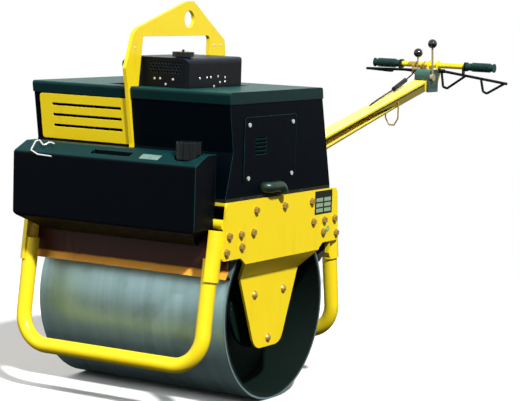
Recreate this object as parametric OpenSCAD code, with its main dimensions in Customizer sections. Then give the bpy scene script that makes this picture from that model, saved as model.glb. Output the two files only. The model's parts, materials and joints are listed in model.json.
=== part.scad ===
// Walk-behind vibratory roller with one drum and a long steering rod.
// X runs along the drum, +X to the operator's left; -Y is forward, +Z is up.
// Heights inside the modules are counted from the drum's axis.

/* [Drum] */
// Width of the drum
drum_w = 710; // [600:5:800]
// Outer diameter of the drum
drum_d = 580; // [520:2:620]
// Thickness of the drum shell
drum_wall = 14; // [8:1:20]
// Depth of each drum head behind the rim
head_inset = 163; // [140:1:180]
// Thickness of a drum head
head_t = 12; // [8:1:16]

/* [Frame] */
// Gap between the end of the drum and a side plate
plate_gap = 17; // [12:1:30]
// Thickness of a side plate
plate_t = 8; // [6:1:12]
// Height of a side plate's top edge above the drum axis
plate_up = 360; // [345:1:380]
// Half length of a side plate at its lower corners
plate_half = 345; // [330:1:360]
// How far a side plate's leg steps in towards the drum
joggle_in = 47; // [40:1:52]
// Pitch circle radius of the rubber mounts
mount_circle_r = 98; // [92:1:104]
// Thickness of the bent sheet cross panels
panel_t = 6; // [4:1:8]

/* [Bumpers] */
// Diameter of the bumper tube
bumper_d = 48.3; // [42:0.1:54]
// Centre-line radius of the bumper's bends
bumper_bend_r = 100; // [80:1:130]
// Length of a bumper leg down to the centre of the cross bar
bumper_drop = 333; // [300:1:350]
// Lean of the bumper legs from upright
bumper_lean = 8.1; // [6:0.1:9]

/* [Hood] */
// Height of the hood's top above the drum axis
hood_up = 689; // [660:1:710]
// Thickness of the hood's sheet
hood_t = 3; // [2:0.5:4]
// Depth of the lip of the top cover
lid_lip = 36; // [25:1:45]
// Height of one slot in the air panel
slot_h = 9; // [6:1:12]
// Number of slots in the air panel
slot_n = 3; // [2:1:4]

/* [Lifting bracket] */
// Thickness of the bracket plate
bracket_t = 12; // [8:1:16]
// Diameter of the lifting eye
eye_d = 55; // [40:1:58]
// Height of the lifting eye above the drum axis
eye_up = 894; // [880:1:905]

/* [Engine] */
// Width of the engine cowl
cowl_w = 215; // [200:1:220]
// Height of the cowl's top above the drum axis
cowl_up = 780; // [760:1:800]
// Radius of a hole in the cowl's grille
grille_r = 3.5; // [2:0.1:4]
// Diameter of the fuel cap
fuel_cap_d = 68; // [50:1:74]

/* [Water tank] */
// Width of the water tank
tank_w = 686; // [640:1:700]
// Distance of the tank's front face from the drum axis
tank_front = 446; // [435:1:470]
// Diameter of the filler cap
tank_cap_d = 77; // [60:1:84]

/* [Steering rod] */
// Length of the rod's folded sheet from pivot to its end
rod_len = 1270; // [1050:5:1350]
// Width of the rod's top
rod_w = 60; // [52:1:64]
// Rise of the rod from level at rest
rod_rise = 13.1; // [10:0.1:16]
// Thickness of the rod's sheet
rod_t = 4; // [3:0.5:5]
// Diameter of the pivot pin
rod_pin_d = 24; // [16:1:28]

/* [Handle] */
// Overall width of the handlebar
handle_w = 532; // [480:2:600]
// Diameter of the handlebar tube
handle_d = 22; // [18:0.5:24]
// Length of a grip
grip_len = 119; // [100:1:130]
// Diameter of a grip
grip_d = 29; // [26:1:34]
// Diameter of a lever's ball
ball_d = 36; // [28:1:40]
// Diameter of the bail's round bar
bail_d = 11; // [9:0.5:12]
// Distance of a bail's tip from the middle
bail_reach = 322; // [280:1:340]

/* [Hidden] */

// Fineness of round parts, and points on each rounded corner
round_fn = 48;
fine_fn = 24;
corner_n = 6;
bend_n = 4;

// Overrun of cuts and the clearances that are used between pieces
over = 1;
run_gap = 0.05;
seat_gap = 0.3;
part_gap = 3;
bolt_gap = 0.5;

yellow = [0.98, 0.86, 0.10];
dark = [0.05, 0.06, 0.06];
steel = [0.62, 0.65, 0.67];
rubber = [0.08, 0.09, 0.09];

drum_r = drum_d / 2;
plate_in = drum_w / 2 + plate_gap;
plate_out = plate_in + plate_t;
head_out = drum_w / 2 - head_inset;

// Shapes shared by the modules

function unit(v) = v / norm(v);

// Rounded corner at b between a and c
function corner(a, b, c, r) =
    let (u = unit(a - b), w = unit(c - b), half = acos(u * w) / 2,
         p = b + u * r / tan(half), q = b + w * r / tan(half),
         m = b + unit(u + w) * r / sin(half),
         a0 = atan2(p[1] - m[1], p[0] - m[0]), a1 = atan2(q[1] - m[1], q[0] - m[0]),
         turn = (a1 - a0 + 540) % 360 - 180)
    r <= 0 ? [b] : [for (i = [0:corner_n]) m + r * [cos(a0 + turn * i / corner_n),
                                                   sin(a0 + turn * i / corner_n)]];

// Outline with a radius for each point: [across, up, radius]
function rounded(p) =
    [for (i = [0:len(p) - 1])
        let (n = len(p), a = p[(i + n - 1) % n], b = p[i], c = p[(i + 1) % n])
        each corner([a[0], a[1]], [b[0], b[1]], [c[0], c[1]], b[2])];

function mirrored(p) = [for (i = [len(p) - 1:-1:0]) [-p[i][0], p[i][1], p[i][2]]];

module at_axle() translate([0, 0, drum_r]) children();

// A (Y, Z) outline extruded towards +X from x0
module along_x(x0, w) translate([x0, 0, 0]) rotate([90, 0, 90]) linear_extrude(w) children();

// A (X, Z) outline extruded towards +Y from y0
module along_y(y0, w) translate([0, y0 + w, 0]) rotate([90, 0, 0]) linear_extrude(w) children();

module both_sides() { children(); mirror([1, 0, 0]) children(); }

module disc_x(x0, w, r, fn = round_fn)
    translate([x0, 0, 0]) rotate([0, 90, 0]) cylinder(h = w, r = r, $fn = fn);

// Round bar from p to q
module bar(p, q, r, fn = fine_fn) {
    d = q - p;
    translate(p) rotate([0, acos(d[2] / norm(d)), atan2(d[1], d[0])])
        cylinder(h = norm(d), r = r, $fn = fn);
}

// Points of a route through p with its corners bent to one radius
function bent(p, bend) =
    let (last = len(p) - 1, way = [for (i = [0:last - 1]) unit(p[i + 1] - p[i])])
    [for (i = [0:last]) each i == 0 || i == last ? [p[i]] :
        let (turn = acos(way[i - 1] * way[i]), inward = unit(way[i] - way[i - 1] * (way[i - 1] * way[i])),
             m = p[i] - way[i - 1] * bend * tan(turn / 2) + inward * bend)
        [for (k = [0:bend_n])
            m + bend * (way[i - 1] * sin(turn * k / bend_n) - inward * cos(turn * k / bend_n))]];

// Directions square to the route, carried along it without twist
function carried(way, side, i = 0) = i == len(way) ? [] :
    let (n = unit(side - way[i] * (way[i] * side))) concat([n], carried(way, n, i + 1));

// Round bar bent through a list of points, with one bend radius
module bent_bar(p, r, bend, sides = 8) {
    q = bent(p, bend);
    last = len(q) - 1;
    way = [for (i = [0:last]) unit(q[min(i + 1, last)] - q[max(i - 1, 0)])];
    side = carried(way, [0, 1, 0]);
    polyhedron(
        points = [for (i = [0:last], k = [0:sides - 1]) let (a = 360 * k / sides)
            q[i] + r * (side[i] * cos(a) + cross(way[i], side[i]) * sin(a))],
        faces = concat(
            [[for (k = [0:sides - 1]) k], [for (k = [sides - 1:-1:0]) last * sides + k]],
            [for (i = [0:last - 1], k = [0:sides - 1])
                let (a = i * sides + k, b = i * sides + (k + 1) % sides)
                each [[a, a + sides, b + sides], [a, b + sides, b]]]));
}

// Side plates: flat ears, a step inwards and a pointed leg that holds the drum

ear_up = 186;
ear_r = 8;
plate_top_half = 330;
plate_top_r = 20;
ear_inner = 245;
neck_half = 226;
neck_up = 172;
neck_r = 14;
joggle_top = 165;
joggle_low = 110;
leg_half = 171;
leg_tip_half = 76;
leg_down = 125;
leg_tip_r = 48;
leg_in = plate_in - joggle_in;
leg_out = plate_out - joggle_in;
joggle_angle = atan(joggle_in / (joggle_top - joggle_low));
joggle_shift = plate_t * tan(joggle_angle / 2);

plate_half_outline = [[plate_top_half, plate_up, plate_top_r], [plate_half, ear_up, ear_r],
                      [ear_inner, ear_up, neck_r], [neck_half, neck_up, 0],
                      [leg_half, joggle_low, 0], [leg_tip_half, -leg_down, leg_tip_r]];
plate_outline = rounded(concat(plate_half_outline, mirrored(plate_half_outline)));
plate_fold = [[plate_out, plate_up + over], [plate_out, joggle_top], [leg_out, joggle_low],
              [leg_out, -leg_down - over], [leg_in, -leg_down - over],
              [leg_in, joggle_low + joggle_shift], [plate_in, joggle_top + joggle_shift],
              [plate_in, plate_up + over]];

// Places of the frame bolts on a side plate, as across and up
frame_bolt_d = 12;
group_bolt_shares = [[0.52, 0.72], [0.72, 0.72], [0.91, 0.72], [0.707, 0.614], [0.948, 0.586]];
group_bolts = [for (p = group_bolt_shares) [p[0] * plate_half, p[1] * plate_up]];
deck_bolt_y = 166;
deck_bolt_drop = 34;
deck_bolt_list = [for (y = [-deck_bolt_y, 0, deck_bolt_y]) [y, plate_up - deck_bolt_drop]];
panel_bolt_list = [for (s = [-1, 1], p = group_bolts) [s * p[0], p[1]]];
mount_bolt_d = 16;
mount_angles = [30, 150, 270];

module side_plate() {
    difference() {
        intersection() {
            along_x(leg_in - over, plate_t + joggle_in + 2 * over) polygon(plate_outline);
            along_y(-plate_half - over, 2 * (plate_half + over)) polygon(plate_fold);
        }
        for (p = concat(deck_bolt_list, panel_bolt_list))
            translate([0, p[0], p[1]])
                disc_x(plate_in - over, plate_t + 2 * over, frame_bolt_d / 2 + bolt_gap, fine_fn);
        for (a = mount_angles)
            translate([0, mount_circle_r * cos(a), mount_circle_r * sin(a)])
                disc_x(leg_in - over, plate_t + 2 * over, mount_bolt_d / 2 + bolt_gap, fine_fn);
    }
}

module side_plate_left() color(yellow) at_axle() side_plate();
module side_plate_right() color(yellow) at_axle() mirror([1, 0, 0]) side_plate();

// Cross panels: bent sheet between the side plates, with bolted end flanges

panel_y = 306;
panel_low = 127;
panel_high = 275;
lip_out = 12;
lip_drop = 18;
flange_in = 165;
flange_low = 196;

module cross_panel(high) {
    outline = [[-panel_y, high], [-panel_y, panel_low + lip_drop],
               [-panel_y - lip_out, panel_low], [-panel_y - lip_out + panel_t, panel_low],
               [-panel_y + panel_t, panel_low + lip_drop], [-panel_y + panel_t, high]];
    difference() {
        union() {
            along_x(-plate_in, 2 * plate_in) polygon(outline);
            both_sides() along_x(plate_in - panel_t, panel_t)
                polygon([[-panel_y + panel_t / 2, flange_low], [-flange_in, flange_low],
                         [-flange_in, panel_high], [-panel_y + panel_t / 2, panel_high]]);
        }
        both_sides() for (p = group_bolts)
            if (p[0] < panel_y - frame_bolt_d)
                translate([0, -p[0], p[1]])
                    disc_x(plate_in - panel_t - over, panel_t + 2 * over,
                           frame_bolt_d / 2 + bolt_gap, fine_fn);
    }
}

module front_cross_panel() color([0.85, 0.62, 0.08]) at_axle() cross_panel(panel_high);
module rear_cross_panel() color([0.85, 0.62, 0.08]) at_axle() mirror([0, 1, 0]) cross_panel(plate_up);

// Scrapers: a flat bar on the panel that reaches down to the drum

scraper_t = 5;
scraper_high = 185;
scraper_bend = 145;
scraper_gap = 1;
scraper_angle = 24;
scraper_inset = 8;

module scraper() {
    y0 = -panel_y + panel_t;
    tip = [-(drum_r + scraper_gap) * cos(scraper_angle), (drum_r + scraper_gap) * sin(scraper_angle)];
    along_x(-plate_in + panel_t + scraper_inset, 2 * (plate_in - panel_t - scraper_inset))
        polygon([[y0, scraper_high], [y0, scraper_bend], tip, tip + [0, scraper_t],
                 [y0 + scraper_t, scraper_bend + scraper_t], [y0 + scraper_t, scraper_high]]);
}

module front_scraper() color(dark) at_axle() scraper();
module rear_scraper() color(dark) at_axle() mirror([0, 1, 0]) scraper();

// Bumpers: bent tube in half-round sleeves that are welded to the side plates

sleeve_r = 30;
bumper_x = plate_in - sleeve_r;
bumper_y = 350;
bumper_top = 192;
sleeve_low = 70;
sleeve_high = 85;
sleeve_r_in = bumper_d / 2 + seat_gap;

module bumper_place(side) {
    translate([0, side * bumper_y, bumper_top]) rotate([side * bumper_lean, 0, 0]) children();
}

module bumper_tube(side) {
    leg = bumper_drop - bumper_bend_r;
    bumper_place(side) {
        both_sides() {
            translate([bumper_x, 0, -leg]) cylinder(h = leg, d = bumper_d, $fn = round_fn);
            translate([bumper_x - bumper_bend_r, 0, -leg]) rotate([90, 90, 0])
                rotate_extrude(angle = 90, $fn = 2 * round_fn)
                    translate([bumper_bend_r, 0]) circle(d = bumper_d, $fn = round_fn);
        }
        translate([-bumper_x + bumper_bend_r, 0, -bumper_drop]) rotate([0, 90, 0])
            cylinder(h = 2 * (bumper_x - bumper_bend_r), d = bumper_d, $fn = round_fn);
    }
}

module front_bumper() color(yellow) at_axle() bumper_tube(-1);
module rear_bumper() color(yellow) at_axle() bumper_tube(1);

module sleeve(side) {
    bumper_place(side) translate([bumper_x, 0, -sleeve_low]) difference() {
        cylinder(h = sleeve_low + sleeve_high, r = sleeve_r, $fn = round_fn);
        translate([0, 0, -over])
            cylinder(h = sleeve_low + sleeve_high + 2 * over, r = sleeve_r_in, $fn = round_fn);
        translate([-2 * sleeve_r, -sleeve_r - over, -over])
            cube([2 * sleeve_r, 2 * (sleeve_r + over), sleeve_low + sleeve_high + 2 * over]);
    }
}

module bumper_sleeves() color(yellow) at_axle() both_sides() { sleeve(-1); sleeve(1); }

// Deck between the side plates: carries the engine, the hood and the rod bracket

deck_t = 10;
deck_front = 330;
deck_rear = 300;
deck_side = 60;
deck_side_t = 6;

module engine_deck() color([0.80, 0.60, 0.08]) at_axle() difference() {
    union() {
        along_x(-plate_in, 2 * plate_in)
            polygon([[-deck_front, plate_up - deck_t], [deck_rear, plate_up - deck_t],
                     [deck_rear, plate_up], [-deck_front, plate_up]]);
        both_sides() along_x(plate_in - deck_side_t, deck_side_t)
            polygon([[-plate_top_half + plate_top_r, plate_up - deck_side],
                     [deck_rear, plate_up - deck_side], [deck_rear, plate_up - deck_t / 2],
                     [-plate_top_half + plate_top_r, plate_up - deck_t / 2]]);
    }
    both_sides() for (p = deck_bolt_list)
        translate([0, p[0], p[1]])
            disc_x(plate_in - deck_side_t - over, deck_side_t + 2 * over,
                   frame_bolt_d / 2 + bolt_gap, fine_fn);
}

// Frame bolts: head and washer outside, nut inside

bolt_head_r = 10;
bolt_head_h = 7.5;
washer_r = 12;
washer_t = 2;

module frame_bolt(y, z, grip_t, nut_h = bolt_head_h) translate([0, y, z]) {
    disc_x(plate_out, washer_t, washer_r, fine_fn);
    disc_x(plate_out + washer_t, bolt_head_h, bolt_head_r, 6);
    disc_x(plate_out - grip_t - nut_h, grip_t + nut_h + washer_t, frame_bolt_d / 2, fine_fn);
    if (nut_h > 0) disc_x(plate_out - grip_t - nut_h, nut_h, bolt_head_r, 6);
}

module frame_bolts() color([0.75, 0.66, 0.20]) at_axle() both_sides() {
    for (p = deck_bolt_list) frame_bolt(p[0], p[1], plate_t + deck_side_t);
    for (p = panel_bolt_list)
        if (abs(p[0]) < panel_y - frame_bolt_d) frame_bolt(p[0], p[1], plate_t + panel_t);
        else frame_bolt(p[0], p[1], plate_t, 0);
}

// Suspension: rubber mounts between each leg and its axle flange

rubber_r = 32;
rubber_len = 45;
rubber_bore_len = 20;
flange_t = 12;
flange_r = 135;
flange_out = leg_in - rubber_len;
dome_r = 14;
dome_h = 9;

module rubber_mounts() color(rubber) at_axle() both_sides() for (a = mount_angles)
    translate([0, mount_circle_r * cos(a), mount_circle_r * sin(a)]) difference() {
        disc_x(flange_out, rubber_len, rubber_r);
        disc_x(leg_in - rubber_bore_len, rubber_bore_len + over, mount_bolt_d / 2 + bolt_gap, fine_fn);
    }

// Domed bolt head: a ball's cap
module mount_bolt() {
    ball_r = (dome_r * dome_r + dome_h * dome_h) / (2 * dome_h);
    disc_x(leg_in - rubber_bore_len + over, plate_t + rubber_bore_len - over, mount_bolt_d / 2, fine_fn);
    translate([leg_out, 0, 0]) rotate([0, 90, 0]) rotate_extrude($fn = round_fn) intersection() {
        translate([0, dome_h - ball_r]) circle(r = ball_r, $fn = round_fn);
        square([dome_r, dome_h]);
    }
}

module mount_bolts() color([0.9, 0.85, 0.3]) at_axle() both_sides() for (a = mount_angles)
    translate([0, mount_circle_r * cos(a), mount_circle_r * sin(a)]) mount_bolt();

// Axle flanges, and the hydraulic motors that they carry

stub_r = 40;
stub_in = 150;
exciter_r = 25;
travel_motor_r = 58;
travel_flange_r = 64;
travel_flange_t = 8;
motor_back_gap = 7;
drive_flange_t = 12;
drive_flange_r = 55;
drive_stub_r = 22;
drive_stub_len = 46;
motor_r = 50;

module axle_flange_left() color(yellow) at_axle() difference() {
    disc_x(flange_out - flange_t, flange_t, flange_r);
    disc_x(flange_out - flange_t - over, flange_t + 2 * over, travel_motor_r + seat_gap);
}

module axle_flange_right() color(yellow) at_axle() mirror([1, 0, 0]) difference() {
    union() {
        disc_x(flange_out - flange_t, flange_t, flange_r);
        disc_x(stub_in, flange_out - stub_in, stub_r);
    }
    disc_x(stub_in - over, flange_out - stub_in + 2 * over, exciter_r + run_gap);
}

motor_front = head_out + drive_flange_t + part_gap;

module travel_motor() color(steel) at_axle() difference() {
    union() {
        disc_x(motor_front, leg_in - motor_back_gap - motor_front, travel_motor_r);
        disc_x(flange_out, travel_flange_t, travel_flange_r);
    }
    disc_x(motor_front - over, drive_stub_len + over, drive_stub_r + run_gap);
}

module vibration_motor() color(steel) at_axle() mirror([1, 0, 0])
    disc_x(flange_out, leg_in - motor_back_gap - flange_out, motor_r);

// Drum: rolled shell, two welded heads and their hubs

hub_r = 75;
hub_len = 60;
left_hub_r = 60;
left_hub_len = 40;
exciter_end_r = 20;
bearing_depth = 35;

module drum_shell() color([0.62, 0.70, 0.74]) at_axle() difference() {
    disc_x(-drum_w / 2, drum_w, drum_r, 4 * round_fn);
    disc_x(-drum_w / 2 - over, drum_w + 2 * over, drum_r - drum_wall, 4 * round_fn);
}

module drum_heads() color(dark) at_axle() {
    difference() {
        disc_x(head_out - head_t, head_t, drum_r - drum_wall, 4 * round_fn);
        disc_x(head_out - head_t - over, head_t + 2 * over, left_hub_r);
    }
    mirror([1, 0, 0]) difference() {
        disc_x(head_out - head_t, head_t, drum_r - drum_wall, 4 * round_fn);
        disc_x(head_out - head_t - over, head_t + 2 * over, hub_r);
    }
}

module drum_hub_left() color(dark) at_axle() difference() {
    union() {
        disc_x(head_out - left_hub_len, left_hub_len, left_hub_r);
        disc_x(head_out, drive_flange_t, drive_flange_r);
        disc_x(head_out, drive_flange_t + part_gap + drive_stub_len - part_gap, drive_stub_r);
    }
    disc_x(head_out - left_hub_len - over, bearing_depth + over, exciter_end_r + run_gap);
}

module drum_hub_right() color(dark) at_axle() mirror([1, 0, 0]) difference() {
    disc_x(head_out - hub_len + head_t, hub_len, hub_r);
    disc_x(head_out - hub_len + head_t - over, hub_len + 2 * over, stub_r + run_gap);
}

// Exciter: shaft on the drum's axis with two half-round weights

weight_r = 88;
weight_w = 55;
weight_x = 85;

module exciter_shaft() color(steel) at_axle() {
    shaft_left = head_out - left_hub_len - part_gap;
    disc_x(-flange_out + part_gap, flange_out - part_gap + shaft_left, exciter_r);
    disc_x(shaft_left - over, part_gap + over + bearing_depth - part_gap, exciter_end_r);
    both_sides() difference() {
        disc_x(weight_x - weight_w / 2, weight_w, weight_r);
        translate([weight_x - weight_w / 2 - over, -weight_r - over, 0])
            cube([weight_w + 2 * over, 2 * (weight_r + over), weight_r + over]);
    }
}

// Hood: closed sheet shell over the engine, with its own top cover

hood_front = 318;
hood_kink_y = 290;
hood_kink_up = 506;
hood_foot_y = 327;
hood_rear = 220;
hood_rear_foot = 292;
hood_edge_r = 9;
seal_h = 10;
seal_w = 14;
hood_low = plate_up + seal_h;
lid_t = 3;
engine_hole_front = 262;
engine_hole_rear = 78;
engine_hole_left = 186;
engine_hole_right = 120;
bracket_slot_gap = 2;
bracket_slot = bracket_t / 2 + bracket_slot_gap;

function hood_outline(inset) = rounded([
    [-hood_front + inset, hood_up - lid_t - inset, hood_edge_r],
    [-hood_kink_y + inset, hood_kink_up, 0],
    [-hood_foot_y + inset, hood_low, 0], [hood_rear_foot - inset, hood_low, 0],
    [hood_rear - inset, hood_up - lid_t - inset, hood_edge_r]]);

// Slope of the hood's front above its kink
front_slope = (hood_front - hood_kink_y) / (hood_up - lid_t - hood_kink_up);
front_tilt = atan(front_slope);

// The bracket's two legs, as from and to along Y
front_leg_rear = 250;
rear_leg_front = 113;
rear_leg_rear = 212;
leg_slot_gap = 4;

module hood_seal() color(rubber) at_axle() difference() {
    translate([-plate_in, -hood_foot_y, plate_up])
        cube([2 * plate_in, hood_foot_y + hood_rear_foot, seal_h]);
    translate([-plate_in + seal_w, -hood_foot_y + seal_w, plate_up - over])
        cube([2 * (plate_in - seal_w), hood_foot_y + hood_rear_foot - 2 * seal_w, seal_h + 2 * over]);
}

// Windows: behind the slotted panel, and in the sides
front_window_in = 16;
front_window_top_in = 6;
side_window_in = 40;

module hood_shell() color(dark) at_axle() difference() {
    front_w = slot_panel_left - bracket_slot - 2 * front_window_in;
    front_low = slot_panel_low + front_window_in;
    side_front = -cover_front + side_window_in;
    side_low = cover_low + side_window_in;
    along_x(-plate_in, 2 * plate_in) polygon(hood_outline(0));
    along_x(-plate_in + hood_t, 2 * (plate_in - hood_t)) polygon(hood_outline(hood_t));
    translate([-plate_in + hood_t, -hood_foot_y + hood_t, hood_low - over])
        cube([2 * (plate_in - hood_t), hood_foot_y + hood_rear_foot - 2 * hood_t, 2 * over]);
    translate([-engine_hole_right, -engine_hole_front, hood_up - 2 * hood_t - 2 * over])
        cube([engine_hole_right + engine_hole_left, engine_hole_front + engine_hole_rear, 4 * lid_t]);
    translate([-bracket_slot, -hood_foot_y - over, hood_low - over])
        cube([2 * bracket_slot, hood_foot_y - front_leg_rear + leg_slot_gap, hood_up]);
    translate([-bracket_slot, rear_leg_front - leg_slot_gap, hood_up - 2 * hood_t - 2 * over])
        cube([2 * bracket_slot, rear_leg_rear - rear_leg_front + 2 * leg_slot_gap, 4 * lid_t]);
    translate([-slot_panel_left + front_window_in, -hood_foot_y, front_low])
        cube([front_w, hood_foot_y - front_leg_rear, slot_panel_high - front_window_top_in - front_low]);
    translate([plate_in - hood_t - over, side_front, side_low])
        cube([hood_t + 2 * over, cover_rear - side_window_in - side_front,
              cover_high - side_window_in - side_low]);
    translate([0, outlet_y, outlet_up])
        disc_x(plate_in - hood_t - over, hood_t + 2 * over, outlet_r + bolt_gap);
}

lid_over = 3;

module hood_lid() color([0.03, 0.16, 0.15]) at_axle() difference() {
    outer = rounded([[-hood_front - lid_over, hood_up, hood_edge_r],
                     [-hood_front - lid_over + lid_lip * front_slope, hood_up - lid_lip, 0],
                     [hood_rear + lid_over + lid_lip * front_slope, hood_up - lid_lip, 0],
                     [hood_rear + lid_over, hood_up, hood_edge_r]]);
    along_x(-plate_in - lid_over, 2 * (plate_in + lid_over)) polygon(outer);
    along_x(-plate_in - seat_gap, 2 * (plate_in + seat_gap))
        polygon(rounded([[-hood_front - seat_gap, hood_up - lid_t, hood_edge_r],
                         [-hood_front - seat_gap + 2 * lid_lip * front_slope, hood_up - 2 * lid_lip, 0],
                         [hood_rear + 2 * lid_lip, hood_up - 2 * lid_lip, 0],
                         [hood_rear + seat_gap, hood_up - lid_t, hood_edge_r]]));
    translate([-engine_hole_right, -engine_hole_front, hood_up - 2 * lid_t])
        cube([engine_hole_right + engine_hole_left, engine_hole_front + engine_hole_rear, 4 * lid_t]);
    translate([-bracket_slot, -hood_foot_y - over, hood_up - 2 * lid_lip])
        cube([2 * bracket_slot, hood_foot_y - front_leg_rear + leg_slot_gap, 3 * lid_lip]);
    translate([-bracket_slot, rear_leg_front - leg_slot_gap, hood_up - 2 * lid_t])
        cube([2 * bracket_slot, rear_leg_rear - rear_leg_front + 2 * leg_slot_gap, 4 * lid_t]);
}

// Air panel on the hood's front with long slots

slot_panel_t = 3;
slot_panel_left = 349;
slot_panel_gap = 2;
slot_panel_low = hood_kink_up + slot_panel_gap;
slot_panel_high = hood_up - lid_lip - part_gap;
slot_left = 301;
slot_right = 32;
slot_pitch = 34;
slot_top = 622;

module slotted_panel() color(yellow) at_axle() {
    foot = -hood_kink_y - front_slope * (slot_panel_low - hood_kink_up);
    translate([0, foot, slot_panel_low]) rotate([front_tilt, 0, 0]) {
        tall = (slot_panel_high - slot_panel_low) / cos(front_tilt);
        translate([0, -slot_panel_t - seat_gap, 0]) difference() {
            along_y(0, slot_panel_t) polygon(rounded([
                [-slot_panel_left, 0, slot_h], [-bracket_slot, 0, 0],
                [-bracket_slot, tall, 0], [-slot_panel_left, tall, slot_h]]));
            for (i = [0:slot_n - 1]) {
                up = (slot_top - slot_panel_low) / cos(front_tilt) - i * slot_pitch;
                along_y(-over, slot_panel_t + 2 * over) polygon(rounded([
                    [-slot_left, up - slot_h, slot_h / 3], [-slot_right, up - slot_h, slot_h / 3],
                    [-slot_right, up, slot_h / 3], [-slot_left, up, slot_h / 3]]));
            }
        }
    }
}

// Screwed cover on the hood's left side, with vents

cover_t = 2;
cover_front = 232;
cover_rear = 68;
cover_low = 412;
cover_high = 612;
cover_r = 12;
cover_screw_in = 24;
cover_screw_low = 14;
cover_screws = [for (y = [-cover_front + cover_screw_in, cover_rear - cover_screw_in],
                     z = [cover_low + cover_screw_low, cover_high - cover_screw_in]) [y, z]];
vent_n = 5;
vent_len = 62;
vent_h = 5;
vent_pitch = 12;
vent_front = -171;
vent_top = 549;

module hood_side_cover() color(dark) at_axle() difference() {
    along_x(plate_in + seat_gap, cover_t) polygon(rounded([
        [-cover_front, cover_low, cover_r], [cover_rear, cover_low, cover_r],
        [cover_rear, cover_high, cover_r], [-cover_front, cover_high, cover_r]]));
    for (i = [0:vent_n - 1])
        translate([plate_in, vent_front, vent_top - i * vent_pitch - vent_h])
            cube([cover_t + 2 * over, vent_len, vent_h]);
    for (p = cover_screws) translate([0, p[0], p[1]])
        disc_x(plate_in, cover_t + 2 * over, screw_d / 2 + bolt_gap, fine_fn);
}

screw_d = 6;
screw_head_r = 6.5;
screw_head_h = 3.5;

module hood_screws() color(steel) at_axle() for (p = cover_screws) translate([0, p[0], p[1]]) {
    disc_x(plate_in, cover_t + seat_gap, screw_d / 2, fine_fn);
    disc_x(plate_in + cover_t + seat_gap, screw_head_h, screw_head_r, fine_fn);
}

// Lifting bracket: one plate with two legs, a window and a round eye

eye_y = -4;
front_leg_w = 50;
bracket_knee = 4;
bracket_lean = 30;
elbow_out = 13;
elbow_up = 57;
elbow_h = 32;
shoulder_in = 24;
shoulder_w = 23;
shoulder_low = 9;
shoulder_rise = 27;
arch_front = 14;
arch_rear = 24;
arch_rise = 57;
rear_slope_y = 102;
rear_slope_in = 8;
rear_slope_drop = 15;
rear_slope_h = 54;
window_gap = 61;
window_hood_gap = 152;
window_front_in = 5;
window_lean = 23;
eye_under = 53;
sharp_r = 8;
bend_r = 12;
blend_r = 21;
knee_r = 30;

// The window clears the cowl and the hood, and the eye keeps its metal below it
window_up = max(cowl_up + window_gap, hood_up + window_hood_gap);
eye_axis_up = max(eye_up, window_up + eye_under);
front_leg_front = front_leg_rear + front_leg_w;
elbow_y = front_leg_front + bracket_lean;
knee_up = hood_kink_up + bracket_knee;
bracket_outline = rounded([
    [-front_leg_front, plate_up, 0], [-front_leg_front, knee_up, knee_r],
    [-elbow_y, hood_up, bend_r], [-elbow_y - elbow_out, hood_up + elbow_up, bend_r],
    [-elbow_y, hood_up + elbow_up + elbow_h, bend_r],
    [-elbow_y + shoulder_in, window_up + shoulder_low, sharp_r],
    [-elbow_y + shoulder_in + shoulder_w, window_up + shoulder_rise, sharp_r],
    [eye_y - arch_front, eye_axis_up + arch_rise, blend_r],
    [eye_y + arch_rear, eye_axis_up + arch_rise, blend_r],
    [rear_slope_y, eye_axis_up, blend_r],
    [rear_leg_rear - rear_slope_in, window_up - rear_slope_drop, blend_r],
    [rear_leg_rear, window_up - rear_slope_drop - rear_slope_h, blend_r], [rear_leg_rear, plate_up, 0],
    [rear_leg_front, plate_up, 0], [rear_leg_front, window_up, bend_r],
    [-front_leg_rear - window_front_in, window_up, sharp_r],
    [-front_leg_rear - window_lean, hood_up, bend_r],
    [-front_leg_rear, knee_up, knee_r], [-front_leg_rear, plate_up, 0]]);

module lifting_bracket() color(yellow) at_axle() difference() {
    along_x(-bracket_t / 2, bracket_t) polygon(bracket_outline);
    translate([0, eye_y, eye_axis_up]) disc_x(-bracket_t / 2 - over, bracket_t + 2 * over, eye_d / 2);
}

// Engine: block, finned cylinder, cowl that stands out of the hood, fuel tank inside it

block_x = 105;
block_front = 195;
block_rear = 50;
block_h = 150;
block_r = 14;
block_mid_y = (block_rear - block_front) / 2;
fin_n = 7;
fin_t = 5;
fin_pitch = 12;
fin_r = 66;
cylinder_r = 48;
crank_r = 18;
crank_rise = 75;
crank_up = plate_up + crank_rise;

module engine_block() color(dark) at_axle() difference() {
    along_x(-block_x, 2 * block_x) polygon(rounded([
        [-block_front, plate_up, 0], [block_rear, plate_up, 0],
        [block_rear, plate_up + block_h, block_r], [-block_front, plate_up + block_h, block_r]]));
    translate([0, block_mid_y, crank_up])
        disc_x(-block_x - over, block_x, crank_r + run_gap);
}

module engine_cylinder() color(dark) at_axle() translate([cowl_mid, block_mid_y, plate_up + block_h]) {
    cylinder(h = fin_pitch * fin_n + fin_t, r = cylinder_r, $fn = round_fn);
    for (i = [1:fin_n]) translate([0, 0, i * fin_pitch]) cylinder(h = fin_t, r = fin_r, $fn = round_fn);
}

cowl_t = 3;
cowl_r = 14;
cowl_right = 45;
cowl_left = cowl_w - cowl_right;
cowl_mid = (cowl_left - cowl_right) / 2;
cowl_front = 250;
cowl_rear = 66;
cowl_low = 602;
cowl_top_r = 18;
cowl_side_out = 58;
cowl_side_low = 35;
grille_rows = 4;
grille_n = 11;
grille_pitch = 11;
grille_left = 36;
grille_drop = 16;
grille_up = cowl_up - grille_drop;
neck_radius = 24;
fuel_side_in = 42;
fuel_front_in = 38;
fuel_x = cowl_left - fuel_side_in;
fuel_y = -cowl_front + fuel_front_in;

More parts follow.
